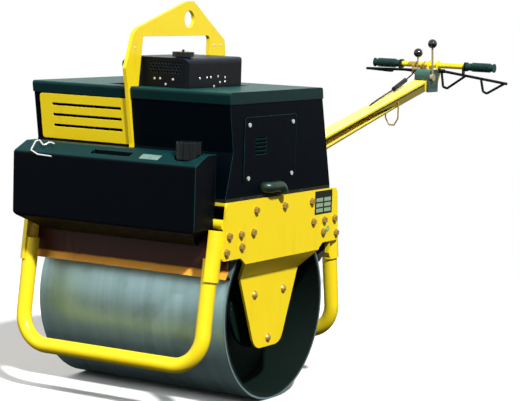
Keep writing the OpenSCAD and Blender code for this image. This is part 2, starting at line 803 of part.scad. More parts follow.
// The cowl seen from the front: its left top edge is well rounded
module cowl_front_view(inset) along_y(-cowl_front - over, cowl_front + cowl_rear + 2 * over)
    polygon(rounded([
        [-cowl_right + inset, cowl_low - 2 * over, 0], [cowl_left - inset, cowl_low - 2 * over, 0],
        [cowl_left - inset, cowl_up - inset, cowl_top_r - inset],
        [-cowl_right + inset, cowl_up - inset, inset > 0 ? 0 : cowl_t]]));

module engine_cowl() color(dark) at_axle() difference() {
    union() {
        intersection() {
            translate([0, 0, cowl_low]) linear_extrude(cowl_up - cowl_low + over) polygon(rounded([
                [-cowl_right, -cowl_front, cowl_t], [cowl_left, -cowl_front, cowl_r],
                [cowl_left, cowl_rear, cowl_r], [-cowl_right, cowl_rear, cowl_r]]));
            cowl_front_view(0);
        }
        along_y(-cowl_front + cowl_side_low, cowl_front - cowl_side_low) polygon(rounded([
            [-cowl_right + over, cowl_low, 0], [-cowl_right + over, cowl_up - part_gap, 0],
            [-cowl_right - cowl_side_out, cowl_up - part_gap - cowl_r, cowl_r],
            [-cowl_right - cowl_side_low, cowl_low, 0]]));
    }
    intersection() {
        translate([0, 0, cowl_low - over]) linear_extrude(cowl_up - cowl_low + over) polygon(rounded([
            [-cowl_right + cowl_t, -cowl_front + cowl_t, 0],
            [cowl_left - cowl_t, -cowl_front + cowl_t, cowl_r - cowl_t],
            [cowl_left - cowl_t, cowl_rear - cowl_t, cowl_r - cowl_t],
            [-cowl_right + cowl_t, cowl_rear - cowl_t, cowl_r - cowl_t]]));
        cowl_front_view(cowl_t);
    }
    for (j = [0:grille_rows - 1], i = [0:grille_n - 1 - j % 2])
        translate([grille_left + (i + (j % 2) / 2) * grille_pitch, -cowl_front - over,
                   grille_up - j * grille_pitch * sin(60)])
            rotate([-90, 0, 0]) cylinder(h = cowl_t + 2 * over, r = grille_r, $fn = fine_fn);
    translate([fuel_x, fuel_y, cowl_up - 2 * cowl_t])
        cylinder(h = 3 * cowl_t, r = neck_radius + bolt_gap, $fn = round_fn);
}

fuel_tank_front = 244;
fuel_tank_rear = 60;
fuel_tank_low = plate_up + block_h + fin_pitch * fin_n + fin_t + seat_gap;
fuel_neck_h = 3;
fuel_tank_gap = 16;

module engine_fuel_tank() color([0.15, 0.15, 0.16]) at_axle() difference() {
    union() {
        translate([0, 0, fuel_tank_low]) linear_extrude(cowl_up - cowl_t - seat_gap - fuel_tank_low)
            polygon(rounded([
                [-cowl_right + 2 * cowl_t, -fuel_tank_front + fuel_tank_gap, cowl_r],
                [cowl_left - cowl_top_r, -fuel_tank_front + fuel_tank_gap, cowl_r],
                [cowl_left - cowl_top_r, fuel_tank_rear, cowl_r],
                [-cowl_right + 2 * cowl_t, fuel_tank_rear, cowl_r]]));
        translate([fuel_x, fuel_y, fuel_tank_low])
            cylinder(h = cowl_up + fuel_neck_h - fuel_tank_low, r = neck_radius, $fn = round_fn);
    }
    translate([fuel_x, fuel_y, fuel_tank_low + fuel_neck_h])
        cylinder(h = cowl_up, r = fuel_stem_r + run_gap, $fn = round_fn);
}

fuel_stem_r = 19;
fuel_stem_len = 14;
fuel_cap_h = 15;
vent_nib_r = 4;
vent_nib_h = 7;
fuel_notch_n = 12;
fuel_notch_r = 4;
fuel_notch_out = 2;

module fuel_cap() color(dark) at_axle() translate([fuel_x, fuel_y, cowl_up + fuel_neck_h + seat_gap]) {
    difference() {
        cylinder(h = fuel_cap_h, d = fuel_cap_d, $fn = round_fn);
        for (i = [0:fuel_notch_n - 1]) rotate([0, 0, i * 360 / fuel_notch_n])
            translate([fuel_cap_d / 2 + fuel_notch_out, 0, -over])
                cylinder(h = fuel_cap_h - fuel_neck_h / 2 + over, r = fuel_notch_r, $fn = fine_fn);
    }
    translate([0, 0, -fuel_stem_len]) cylinder(h = fuel_stem_len, r = fuel_stem_r, $fn = round_fn);
    translate([0, 0, fuel_cap_h]) cylinder(h = vent_nib_h, r = vent_nib_r, $fn = fine_fn);
}

// Muffler with its outlet elbow at the hood's left side

muffler_x = 215;
muffler_w = 90;
muffler_d = 150;
muffler_h = 130;
muffler_rise = 12;
muffler_up = plate_up + muffler_rise;
muffler_y = -60;
muffler_r = 22;
exhaust_y = -72;
exhaust_rise = 80;
exhaust_up = plate_up + exhaust_rise;
outlet_r = 17;
outlet_in = 13;
outlet_bend = 22;
outlet_x = plate_in + outlet_r + part_gap;
outlet_y = -114;
outlet_end_y = -32;
outlet_gap = 2;
outlet_up = cover_low - outlet_r - outlet_gap;

module muffler() color([0.3, 0.3, 0.31]) at_axle() {
    translate([0, exhaust_y, exhaust_up]) disc_x(block_x, muffler_x - block_x + over, outlet_r);
    along_x(muffler_x, muffler_w) polygon(rounded([
        [muffler_y - muffler_d / 2, muffler_up, muffler_r],
        [muffler_y + muffler_d / 2, muffler_up, muffler_r],
        [muffler_y + muffler_d / 2, muffler_up + muffler_h, muffler_r],
        [muffler_y - muffler_d / 2, muffler_up + muffler_h, muffler_r]]));
}

module outlet_route(r, overrun) {
    x0 = muffler_x + muffler_w;
    translate([x0 - overrun, outlet_y, outlet_up]) disc_x(0, outlet_x - outlet_bend - x0 + overrun, r);
    translate([outlet_x - outlet_bend, outlet_y + outlet_bend, outlet_up]) rotate([0, 0, -90])
        rotate_extrude(angle = 90, $fn = round_fn) translate([outlet_bend, 0]) circle(r = r, $fn = round_fn);
    translate([outlet_x, outlet_y + outlet_bend, outlet_up]) rotate([-90, 0, 0])
        cylinder(h = outlet_end_y - outlet_y - 2 * outlet_bend, r = r, $fn = round_fn);
    translate([outlet_x, outlet_end_y - outlet_bend, outlet_up - outlet_bend]) rotate([90, 0, 90])
        rotate_extrude(angle = 90, $fn = round_fn) translate([outlet_bend, 0]) circle(r = r, $fn = round_fn);
    translate([outlet_x, outlet_end_y, outlet_up - outlet_bend - overrun])
        cylinder(h = overrun, r = r, $fn = round_fn);
}

module exhaust_elbow() color(steel) at_axle() difference() {
    outlet_route(outlet_r, 0);
    outlet_route(outlet_in, over);
}

// Air cleaner and hydraulic pump on the right of the block

cleaner_r = 55;
cleaner_len = 120;
cleaner_x = 345;
cleaner_y = -150;
cleaner_up = 560;
cleaner_pipe_r = 18;

module air_cleaner() color(dark) at_axle() {
    translate([-cleaner_x, cleaner_y, cleaner_up]) disc_x(0, cleaner_len, cleaner_r);
    translate([-cleaner_x + cleaner_len, cleaner_y, cleaner_up])
        disc_x(-over, cleaner_x - cleaner_len - block_x + over, cleaner_pipe_r);
    translate([-block_x - cleaner_pipe_r, cleaner_y, plate_up + block_h / 2])
        cylinder(h = cleaner_up - plate_up - block_h / 2, r = cleaner_pipe_r, $fn = round_fn);
}

coupling_x = 190;
coupling_w = 50;
coupling_r = 38;
pump_x = 330;
pump_w = 110;
pump_h = 120;
pump_shaft_len = 30;

module hydraulic_pump() color(steel) at_axle() difference() {
    along_x(-pump_x, pump_w) polygon(rounded([
        [block_mid_y - pump_h / 2, plate_up, 0], [block_mid_y + pump_h / 2, plate_up, 0],
        [block_mid_y + pump_h / 2, crank_up + pump_h / 2, block_r],
        [block_mid_y - pump_h / 2, crank_up + pump_h / 2, block_r]]));
    translate([0, block_mid_y, crank_up])
        disc_x(-pump_x + pump_w - pump_shaft_len - over, pump_shaft_len + 2 * over, crank_r + run_gap);
}

oil_tank_x = [-340, -160];
oil_tank_y = [30, 230];
oil_tank_h = 160;
oil_neck_r = 20;
oil_neck_h = 22;

module hydraulic_tank() color(dark) at_axle() {
    along_x(oil_tank_x[0], oil_tank_x[1] - oil_tank_x[0]) polygon(rounded([
        [oil_tank_y[0], plate_up, 0], [oil_tank_y[1], plate_up, 0],
        [oil_tank_y[1], plate_up + oil_tank_h, block_r], [oil_tank_y[0], plate_up + oil_tank_h, block_r]]));
    translate([(oil_tank_x[0] + oil_tank_x[1]) / 2, (oil_tank_y[0] + oil_tank_y[1]) / 2,
               plate_up + oil_tank_h - over])
        cylinder(h = oil_neck_h + over, r = oil_neck_r, $fn = round_fn);
}

module drive_coupling() color(steel) at_axle() translate([0, block_mid_y, crank_up]) {
    disc_x(-pump_x + pump_w - pump_shaft_len + part_gap, pump_x - pump_w + pump_shaft_len - 2 * part_gap,
           crank_r);
    disc_x(-coupling_x, coupling_w, coupling_r);
}

// Water tank: moulded body that leans over the drum's front

tank_low = 275;
tank_edge_r = 8;
tank_front_r = 10;
tank_back_r = 6;
tank_foot = 222;
tank_foot_in = 49;
tank_chamfer_h = 50;
tank_back = 338;
tank_waist = 350;
tank_waist_h = 10;
tank_bar_r = 15;
tank_bar_up = 295;
tank_step = 346;
tank_top = 505;
tank_slope_y = 63;
tank_slope_h = 30;
tank_crown = 1;
tank_side = [[-tank_front, tank_low, tank_front_r],
             [-tank_front, tank_top - tank_crown - tank_slope_h, tank_front_r],
             [-tank_front + tank_slope_y, tank_top - tank_crown, tank_front_r],
             [-tank_back, tank_top, tank_back_r], [-tank_back, tank_waist, tank_back_r],
             [-tank_step, tank_waist - tank_waist_h, tank_back_r], [-tank_step, tank_foot, tank_back_r]];

// The foot stays between the bumper sleeves, and the chamfer rises from it over them
tank_chamfer = max(tank_chamfer_h, tank_w / 2 - bumper_x + tank_foot_in);
tank_corner_up = tank_low + tank_edge_r - tank_chamfer_h + tank_chamfer;
cap_side_in = 68;
cap_front_in = 62;
cap_x = tank_w / 2 - cap_side_in;
cap_y = -tank_front + cap_front_in;
tank_neck_r = 26;
tank_recess_x = -64;
tank_recess_w = 149;
tank_recess_in = 22;
tank_recess_d = 24;
tank_recess_t = 26;

module water_tank() color(dark) at_axle() difference() {
    union() {
        intersection() {
            along_x(-tank_w / 2, tank_w) polygon(rounded(tank_side));
            along_y(-tank_front - over, tank_front) polygon(rounded([
                [-tank_w / 2, tank_corner_up, tank_edge_r],
                [-tank_w / 2 + tank_chamfer, tank_corner_up - tank_chamfer, 0],
                [-tank_w / 2 + tank_chamfer, tank_foot - over, 0],
                [tank_w / 2 - tank_chamfer, tank_foot - over, 0],
                [tank_w / 2 - tank_chamfer, tank_corner_up - tank_chamfer, 0],
                [tank_w / 2, tank_corner_up, tank_edge_r], [tank_w / 2, hood_up, 0],
                [-tank_w / 2, hood_up, 0]]));
        }
    }
    translate([cap_x, cap_y, tank_neck_up - pocket_step]) difference() {
        cylinder(h = pocket_step + cap_h + over, r = tank_cap_d / 2 + pocket_gap, $fn = round_fn);
        translate([0, 0, -over]) cylinder(h = pocket_step + over, r = tank_neck_r, $fn = round_fn);
    }
    translate([cap_x, cap_y, tank_waist + over])
        cylinder(h = hood_up, r = cap_stem_r + run_gap, $fn = round_fn);
    translate([tank_recess_x, -tank_front + tank_recess_in, tank_top - tank_recess_t])
        cube([tank_recess_w, tank_recess_d, 2 * tank_recess_t]);
}

tank_neck_drop = 17;
tank_neck_up = tank_top - tank_neck_drop;
pocket_step = 4;
pocket_gap = 5;
cap_stem_r = 22;
cap_stem_len = 20;
cap_h = 52;
cap_lobe_n = 8;
cap_lobe_r = 9;
cap_lobe_out = 4;

module tank_cap() color(dark) at_axle() translate([cap_x, cap_y, tank_neck_up + seat_gap]) {
    difference() {
        cylinder(h = cap_h, d = tank_cap_d, $fn = round_fn);
        for (i = [0:cap_lobe_n - 1]) rotate([0, 0, i * 360 / cap_lobe_n])
            translate([tank_cap_d / 2 + cap_lobe_out, 0, -over])
                cylinder(h = cap_h + 2 * over, r = cap_lobe_r, $fn = fine_fn);
    }
    translate([0, 0, -cap_stem_len]) cylinder(h = cap_stem_len, r = cap_stem_r, $fn = round_fn);
}

module tank_support_bar() color(yellow) at_axle()
    translate([0, -tank_step + tank_bar_r + seat_gap, tank_bar_up])
        disc_x(-plate_in, 2 * plate_in, tank_bar_r);

// Spring wire clip on the tank's top edge

clip_r = 2.5;
clip_bend = 6;
clip_y = -tank_front - clip_r - seat_gap;
clip_shares = [[0.56, 1, 0.919], [0.714, 1, 0.923], [0.793, 1, 0.947], [0.848, 0.896, 0.996],
               [0.81, 0.887, 1], [0.7, 0.952, 0.976], [0.679, 0.903, 0.996], [0.612, 0.918, 0.99]];

module tank_clip() color([0.85, 0.87, 0.88]) at_axle()
    bent_bar([for (p = clip_shares) [-p[0] * tank_w / 2, p[1] * clip_y, p[2] * tank_top + clip_r]],
             clip_r, clip_bend);

// Sprinkler pipe behind the front panel

pipe_r = 11;
pipe_up = 230;
pipe_hole_n = 13;
pipe_hole_r = 1.5;

module sprinkler_pipe() color(steel) at_axle() {
    y0 = -panel_y + panel_t + pipe_r + seat_gap;
    half = plate_in - panel_t - part_gap;
    difference() {
        translate([0, y0, pipe_up]) disc_x(-half, 2 * half, pipe_r);
        for (i = [0:pipe_hole_n - 1])
            translate([-half + (i + 0.5) * 2 * half / pipe_hole_n, y0, pipe_up - pipe_r - over])
                cylinder(h = pipe_r, r = pipe_hole_r, $fn = fine_fn);
    }
}

// Rear bracket, pivot pin and steering rod

pivot_y = 385;
pivot_up = 342;
cheek_t = 8;
cheek_gap = 0.5;
cheek_low = 280;
cheek_high = 358;
cheek_rear = 412;
cheek_r = 24;
stop_r = 7;
stop_at = 4;
bracket_base_t = 8;

module rod_bracket() color(yellow) at_axle() {
    difference() {
        union() {
            both_sides() along_x(rod_w / 2 + cheek_gap, cheek_t) polygon(rounded([
                [panel_y, cheek_low, 0], [cheek_rear, cheek_low, cheek_r],
                [cheek_rear, cheek_high, cheek_r], [panel_y, cheek_high, 0]]));
            translate([-rod_w, panel_y, cheek_low])
                cube([2 * rod_w, bracket_base_t, cheek_high - cheek_low]);
        }
        translate([0, pivot_y, pivot_up])
            disc_x(-rod_w - over, 2 * (rod_w + over), rod_pin_d / 2 + bolt_gap / 5);
    }
    translate(rod_point(0, stop_at, -rod_low - stop_r - seat_gap))
        disc_x(-rod_w / 2 - cheek_gap - over, rod_w + 2 * (cheek_gap + over), stop_r);
}

pin_head = 5;

module rod_pivot_pin() color(steel) at_axle() translate([0, pivot_y, pivot_up]) {
    half = rod_w / 2 + cheek_gap + cheek_t;
    disc_x(-half, 2 * half, rod_pin_d / 2);
    both_sides() disc_x(half, pin_head, rod_pin_d / 2 + pin_head);
}

rod_top = 24;
rod_lip = 8;
rod_low = 35;
rod_end_low = 19;
rod_heel = 27;
rod_side = 22;
boss_r = 22;
slot_from = 70;
slot_tip_back = 480;
slot_to_back = 255;
slot_tip = rod_len - slot_tip_back;
slot_to = rod_len - slot_to_back;
slot_end_low = 8;
slot_sill = 2;

// Place on the rod: across, along it from the pivot and up from its axis
function rod_point(x, along, up) = [x, pivot_y + along * cos(rod_rise) - up * sin(rod_rise),
                                    pivot_up + along * sin(rod_rise) + up * cos(rod_rise)];

module rod_place() translate([0, pivot_y, pivot_up]) rotate([rod_rise, 0, 0]) children();

// The sheet's outline from the side: its lower edge rises to the end of the slot
rod_sheet = [[-rod_heel, rod_top - rod_t], [-rod_heel, -rod_low], [0, -rod_low], [slot_to, -rod_end_low],
             [rod_len, -rod_end_low], [rod_len, rod_top - rod_t]];
rod_slot = rounded([[slot_from, rod_top, rod_t], [slot_from, -rod_low + 2 * rod_t, rod_t],
                    [slot_to, -rod_end_low + rod_t + slot_sill, 0], [slot_to, -slot_end_low, 0],
                    [slot_tip, rod_top - rod_lip - 2 * rod_t, 0], [slot_tip, rod_top, 0]]);

// Folded sheet: a top with two lips, a box under it with a slot that runs out to a point.
// The heel is rounded below the pivot, so that it clears the stop bar as the rod folds up
module steering_rod() color(yellow) at_axle() rod_place() difference() {
    union() {
        difference() {
            along_x(-rod_side, 2 * rod_side) polygon(rod_sheet);
            along_x(-rod_side + rod_t, 2 * (rod_side - rod_t)) polygon([
                [-rod_heel - over, rod_top], [-rod_heel - over, -rod_low + rod_t], [0, -rod_low + rod_t],
                [slot_to, -rod_end_low + rod_t], [rod_len + over, -rod_end_low + rod_t],
                [rod_len + over, rod_top]]);
            along_x(rod_side - rod_t - over, rod_t + 2 * over) polygon(rod_slot);
        }
        translate([-rod_w / 2, -rod_heel, rod_top - rod_t]) cube([rod_w, rod_heel + rod_len, rod_t]);
        both_sides() translate([rod_w / 2 - rod_t, -rod_heel, rod_top - rod_lip])
            cube([rod_t, rod_heel + rod_len, rod_lip]);
        disc_x(-rod_w / 2, rod_w, boss_r);
    }
    difference() {
        translate([-rod_w, -rod_heel - over, -rod_low - over])
            cube([2 * rod_w, rod_heel + over, rod_low + over]);
        disc_x(-rod_w - over, 2 * (rod_w + over), rod_low);
    }
    disc_x(-rod_w, 2 * rod_w, rod_pin_d / 2 + run_gap);
    translate([0, loop_at, loop_up]) disc_x(-rod_w, 2 * rod_w, loop_r + run_gap, fine_fn);
}

// Rod head: two cheeks that carry the console and the handlebar

head_half = rod_side;
head_plate_t = 5;
bar_back = 112.8;
bar_rise = 82.1;
bar_y = rod_point(0, rod_len, 0)[1] + bar_back;
bar_up = rod_point(0, rod_len, 0)[2] + bar_rise;
bail_pin_drop = 22;
bail_pin_up = bar_up - bail_pin_drop;
bail_pin_r = 4;
head_ear_w = 39;
head_ear_rear = 23;
head_ear_rise = 18;
head_ear_y = bar_y + head_ear_rear - head_ear_w;
head_rise = 2;
head_top = rod_point(0, rod_len, rod_top)[2] + head_rise;
head_ear_r = 18;
head_step_r = 6;
head_bend_r = 20;
head_sole_y = 60;
head_sole_drop = 96;
head_toe_drop = 72;
boss_head_r = 8;
boss_head_back = 59;
boss_head_y = bar_y - boss_head_back;
boss_head_up = bar_up - head_toe_drop;

// A place on the rod without its distance across
function rod_flat(along, up) = let (p = rod_point(0, along, up)) [p[1], p[2], 0];

head_floor = [rod_flat(rod_len, -rod_end_low), [bar_y - head_sole_y, bar_up - head_sole_drop, head_bend_r],
              [bar_y, bar_up - head_toe_drop, head_bend_r]];
head_outline = rounded(concat(head_floor, [
    [bar_y + head_ear_rear, bail_pin_up, head_bend_r],
    [bar_y + head_ear_rear, bar_up + head_ear_rise, head_ear_r],
    [head_ear_y, bar_up + head_ear_rise, head_ear_r], [head_ear_y, head_top, head_step_r],
    rod_flat(rod_len, rod_top)]));

module rod_head() color(yellow) at_axle() difference() {
    union() {
        both_sides() {
            along_x(head_half - head_plate_t, head_plate_t) polygon(head_outline);
            translate([0, boss_head_y, boss_head_up])
                disc_x(head_half - over, console_half - console_t - head_half + over, boss_head_r);
        }
        along_x(-head_half + over, 2 * (head_half - over)) polygon([
            for (p = head_floor) if (p[0] < bar_y) [p[0], p[1]],
            for (i = [len(head_floor) - 2:-1:0]) [head_floor[i][0], head_floor[i][1] + head_plate_t]]);
        along_x(-head_half, 2 * head_half) polygon([for (p = [
            rod_flat(rod_len, -rod_end_low), rod_flat(rod_len + head_plate_t, -rod_end_low),
            rod_flat(rod_len + head_plate_t, rod_top), rod_flat(rod_len, rod_top)]) [p[0], p[1]]]);
        along_x(-head_half, 2 * head_half) polygon([for (p = [
            rod_flat(rod_len, rod_top), rod_flat(rod_len, rod_top - head_plate_t),
            [console_front - console_gap, head_top - head_plate_t],
            [console_front - console_gap, head_top - head_rise]]) [p[0], p[1]]]);
    }
    translate([0, bar_y, bar_up]) disc_x(-rod_w, 2 * rod_w, handle_d / 2 + bolt_gap / 5);
    translate([0, bar_y, bail_pin_up]) disc_x(-rod_w, 2 * rod_w, bail_pin_r + bolt_gap / 5);
}

// Console: pressed housing over the rod head

console_half = 32;
console_t = 3;
console_len = 80;
console_gap = 3;
console_rear = head_ear_y - console_gap;
console_front = console_rear - console_len;
console_drop = 104;
console_low = bar_up - console_drop;
console_h = 88;
console_high = console_low + console_h;
console_r = 26;
lever_in = 18;
lever_down = 29;
lever_y = console_front + lever_in;
lever_up = console_high - lever_down;
lever_pin_r = 5;

function console_outline(inset) = rounded([
    [console_front + inset, console_low, 0],
    [console_rear - inset, console_low, 0],
    [console_rear - inset, console_high - inset, console_r / 3],
    [console_front + inset, console_high - inset, console_r]]);

module console() color([0.16, 0.28, 0.24]) at_axle() {
    difference() {
        along_x(-console_half, 2 * console_half) polygon(console_outline(0));
        along_x(-console_half + console_t, 2 * (console_half - console_t))
            polygon(console_outline(console_t));
        translate([-head_half - bolt_gap, console_front - over, console_low - over])
            cube([2 * (head_half + bolt_gap), console_rear - console_front + 2 * over,
                  head_top + bolt_gap - console_low + over]);
        translate([0, lever_y, lever_up]) disc_x(0, console_half + over, lever_pin_r + run_gap);
    }
}

module travel_lever() color(steel) at_axle() translate([0, lever_y, lever_up]) {
    disc_x(head_half + part_gap, console_half + part_gap - head_half, lever_pin_r);
    disc_x(console_half + seat_gap, lever_hub_w, lever_hub_r);
    translate([console_half + seat_gap + lever_hub_w / 2, 0, 0]) rotate([lever_lean, 0, 0]) {
        cylinder(h = lever_len, r = lever_stem_r, $fn = fine_fn);
        translate([0, 0, lever_len]) sphere(d = ball_d, $fn = round_fn);
    }
}

lever_hub_r = 14;
lever_hub_w = 12;
lever_stem_r = 4;
lever_len = 133;
lever_lean = 5;

// Handlebar, grips and the hangers for the bails

hanger_gap = 9;
hanger_x = handle_w / 2 - grip_len - hanger_gap;
hanger_r = 18;
hanger_w = 6;
hanger_tip_r = 4;
hanger_drop = 28;
hanger_len = 16;
hanger_at = 10;
hanger_low = bar_up - hanger_drop;
hanger_back = bar_y - hanger_at;
hanger_front = hanger_back - hanger_len;

module handlebar() color(yellow) at_axle() {
    translate([0, bar_y, bar_up]) difference() {
        disc_x(-handle_w / 2 + grip_t, handle_w - 2 * grip_t, handle_d / 2);
        disc_x(-handle_w, 2 * handle_w, handle_d / 2 - grip_t);
    }
    translate([0, bar_y, bail_pin_up]) {
        disc_x(-bail_start + over, 2 * (bail_start - over), bail_pin_r);
    }
}

grip_t = 2.5;
grip_rib_n = 12;
grip_rib_t = 1;
grip_lip = 3;

module handle_grips() color(rubber) at_axle() translate([0, bar_y, bar_up]) both_sides() difference() {
    union() {
        disc_x(handle_w / 2 - grip_len, grip_len, grip_d / 2 - grip_rib_t);
        for (i = [0:grip_rib_n - 1])
            disc_x(handle_w / 2 - grip_len + grip_lip + i * grip_len / grip_rib_n, grip_len / grip_rib_n / 2,
                   grip_d / 2);
        disc_x(handle_w / 2 - grip_lip, grip_lip, grip_d / 2 + grip_lip);
        disc_x(handle_w / 2 - grip_len, grip_lip, grip_d / 2 + grip_lip);
    }
    disc_x(handle_w / 2 - grip_len - over, grip_len - grip_t + over, handle_d / 2 + run_gap);
}

module bail_hangers() color(dark) at_axle() both_sides() difference() {
    union() {
        translate([0, bar_y, bar_up]) disc_x(hanger_x, hanger_w, hanger_r);
        along_x(hanger_x, hanger_w) polygon(rounded([
            [hanger_front, hanger_low, hanger_tip_r], [hanger_back, hanger_low, hanger_tip_r],
            [hanger_back, bar_up, 0], [hanger_front, bar_up, 0]]));
    }
    translate([0, bar_y, bar_up]) disc_x(hanger_x - over, hanger_w + 2 * over, handle_d / 2 + bolt_gap / 5);
}

// Bails: bent bars with two hand stirrups, each on the pin beside the rod head

bail_gap = 1;
bail_eye_w = 27;
eye_in = head_half + bail_gap;
eye_out = eye_in + bail_eye_w;
eye_r = 8;
bail_start = eye_out - eye_r;
bail_drop = 36;

function on_bail(x) = [x, 0, -bail_drop * (x - eye_in) / (bail_reach - eye_in)];

stirrup_r = 5;
stirrup_bend = 9;
stirrup_sides = 12;
stirrup_in_shares = [[0.112, 0, 0], [0.143, 0, -0.193], [0.199, 0, -0.208], [0.432, 0, -0.05]];
stirrup_out_shares = [[0.655, 0, -0.084], [0.686, 0, -0.22], [0.736, 0, -0.242], [0.969, 0, -0.109]];

module bail() difference() {
    union() {
        disc_x(eye_in, eye_out - eye_in, eye_r, fine_fn);
        bar([bail_start, 0, 0], on_bail(bail_reach), bail_d / 2);
        bent_bar(bail_reach * stirrup_in_shares, stirrup_r, stirrup_bend, stirrup_sides);
        bent_bar(bail_reach * stirrup_out_shares, stirrup_r, stirrup_bend, stirrup_sides);
    }
    disc_x(eye_in - over, bail_start - eye_in + over, bail_pin_r + run_gap, fine_fn);
}

bail_swing = 80;

module bail_right() color(dark) at_axle() translate([0, bar_y, bail_pin_up])
    rotate([bail_swing, 0, 0]) mirror([1, 0, 0]) bail();
module bail_left() color(dark) at_axle() translate([0, bar_y, bail_pin_up]) bail();

// Throttle: clamp with two ears on the handlebar, lever between them, and its cable

clamp_w = 42;
clamp_ear = 6;
clamp_r = 13;
clamp_edge_r = 4;
clamp_gap = 3;
clamp_x = -console_half - clamp_gap - clamp_w;
throttle_at = 29;
throttle_drop = 18;
throttle_y = bar_y - throttle_at;
throttle_up = bar_up - throttle_drop;
throttle_r = 8;
throttle_len = 65;
throttle_stem_r = 3.5;
throttle_pin_r = 3;

module throttle_clamp() color([0.45, 0.30, 0.12]) at_axle()
    for (x = [clamp_x, clamp_x + clamp_w - clamp_ear]) difference() {
        union() {
            translate([0, bar_y, bar_up]) disc_x(x, clamp_ear, clamp_r);
            along_x(x, clamp_ear) polygon(rounded([
                [throttle_y - throttle_r, throttle_up - throttle_r, clamp_edge_r],
                [throttle_y + throttle_r, throttle_up - throttle_r, clamp_edge_r],
                [bar_y, bar_up, 0], [bar_y, bar_up + clamp_r, 0],
                [throttle_y - throttle_r, throttle_up + 2 * throttle_r, clamp_edge_r]]));
        }
        translate([0, bar_y, bar_up]) disc_x(x - over, clamp_ear + 2 * over, handle_d / 2 + bolt_gap / 5);
        translate([0, throttle_y, throttle_up])
            disc_x(x - over, clamp_ear + 2 * over, throttle_pin_r + run_gap, fine_fn);
    }

module throttle_lever() color(steel) at_axle() translate([0, throttle_y, throttle_up]) {
    disc_x(clamp_x, clamp_w, throttle_pin_r, fine_fn);
    disc_x(clamp_x + clamp_ear + bolt_gap, clamp_w - 2 * clamp_ear - 2 * bolt_gap, throttle_r, fine_fn);
    translate([clamp_x + clamp_w / 2, 0, 0]) {
        cylinder(h = throttle_len, r = throttle_stem_r, $fn = fine_fn);
        translate([0, 0, throttle_len]) sphere(d = ball_d, $fn = round_fn);
    }
}

cable_r = 3;
cable_side = clamp_x + clamp_w - clamp_ear / 2;
// Places along the rod are counted back from its end, and the others from the handlebar
cable_path = [[cable_side, throttle_y, throttle_up - throttle_r - 2 * seat_gap],
              [cable_side, throttle_y, throttle_up - 30],
              [-44, bar_y - 100, bar_up - 26], [-14, bar_y - 150, bar_up - 32], [-12, bar_y - 205, bar_up - 52],
              rod_point(-12, rod_len - 200, rod_top + 14), rod_point(-12, rod_len - 330, rod_top + 8),
              rod_point(-12, rod_len - 385, rod_top + cable_r + seat_gap)];
cable_bend = 12;
cable_run = cable_path[5] - cable_path[4];
cable_slope = atan(cable_run[2] / cable_run[1]);
adjuster_r = 9;
adjuster_from = 8;
adjuster_len = 100;

module throttle_cable() color(dark) at_axle() {
    bent_bar(cable_path, cable_r, cable_bend);
    translate(cable_path[4]) rotate([90 + cable_slope, 0, 0])
        translate([0, 0, adjuster_from]) cylinder(h = adjuster_len, r = adjuster_r, $fn = fine_fn);
}

// Wire loop that straddles the rod and hangs under it

loop_r = 3;
loop_bend = 5;
loop_from_end = 230;
loop_at = rod_len - loop_from_end;
loop_up = 0;
loop_gap = 2;
loop_top_half = rod_side + loop_r + loop_gap;
loop_low_half = 11;
loop_knee = 62;
loop_drop = 88;

module lashing_loop() color([0.7, 0.6, 0.2]) at_axle() translate(rod_point(0, loop_at, loop_up))
    bent_bar([[-rod_side + rod_t, 0, 0], [-loop_top_half, 0, 0], [-loop_top_half, 0, -loop_knee],
              [-loop_low_half, 0, -loop_drop], [loop_low_half, 0, -loop_drop],
              [loop_top_half, 0, -loop_knee], [loop_top_half, 0, 0], [rod_side - rod_t, 0, 0]],
             loop_r, loop_bend);

side_plate_left();
side_plate_right();
front_cross_panel();
rear_cross_panel();
front_bumper();
rear_bumper();
bumper_sleeves();
front_scraper();
rear_scraper();
tank_support_bar();
engine_deck();
frame_bolts();
rubber_mounts();
mount_bolts();
axle_flange_left();
axle_flange_right();
travel_motor();
vibration_motor();
sprinkler_pipe();
lifting_bracket();
hood_seal();
hood_shell();
hood_lid();
slotted_panel();
hood_side_cover();
hood_screws();
engine_block();
engine_cylinder();
engine_cowl();
engine_fuel_tank();
muffler();
exhaust_elbow();
air_cleaner();
hydraulic_pump();
hydraulic_tank();
water_tank();
tank_clip();
rod_bracket();
rod_pivot_pin();
drum_shell();
drum_heads();
drum_hub_left();
drum_hub_right();
exciter_shaft();
drive_coupling();
steering_rod();
rod_head();
console();
handlebar();
handle_grips();
bail_hangers();
throttle_clamp();
throttle_cable();
tank_cap();
fuel_cap();
travel_lever();
throttle_lever();
bail_left();
bail_right();
lashing_loop();
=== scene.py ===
import json
import math

import bmesh
import bpy
from mathutils import Matrix, Vector
from mathutils.bvhtree import BVHTree


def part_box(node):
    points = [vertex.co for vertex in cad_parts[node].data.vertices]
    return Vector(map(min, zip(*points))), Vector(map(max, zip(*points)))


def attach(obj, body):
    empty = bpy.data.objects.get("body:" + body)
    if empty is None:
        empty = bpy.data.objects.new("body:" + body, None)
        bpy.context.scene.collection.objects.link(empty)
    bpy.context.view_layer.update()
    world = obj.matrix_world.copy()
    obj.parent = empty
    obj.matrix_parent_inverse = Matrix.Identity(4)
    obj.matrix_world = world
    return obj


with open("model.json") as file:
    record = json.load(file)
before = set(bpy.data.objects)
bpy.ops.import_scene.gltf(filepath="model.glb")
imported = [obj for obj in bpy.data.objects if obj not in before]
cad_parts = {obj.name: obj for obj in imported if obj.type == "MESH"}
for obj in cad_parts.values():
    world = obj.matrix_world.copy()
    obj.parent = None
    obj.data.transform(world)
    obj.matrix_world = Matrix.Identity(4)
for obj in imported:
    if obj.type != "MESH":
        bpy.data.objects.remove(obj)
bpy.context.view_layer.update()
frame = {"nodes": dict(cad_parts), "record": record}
nodes = frame["nodes"]
mm = 0.001
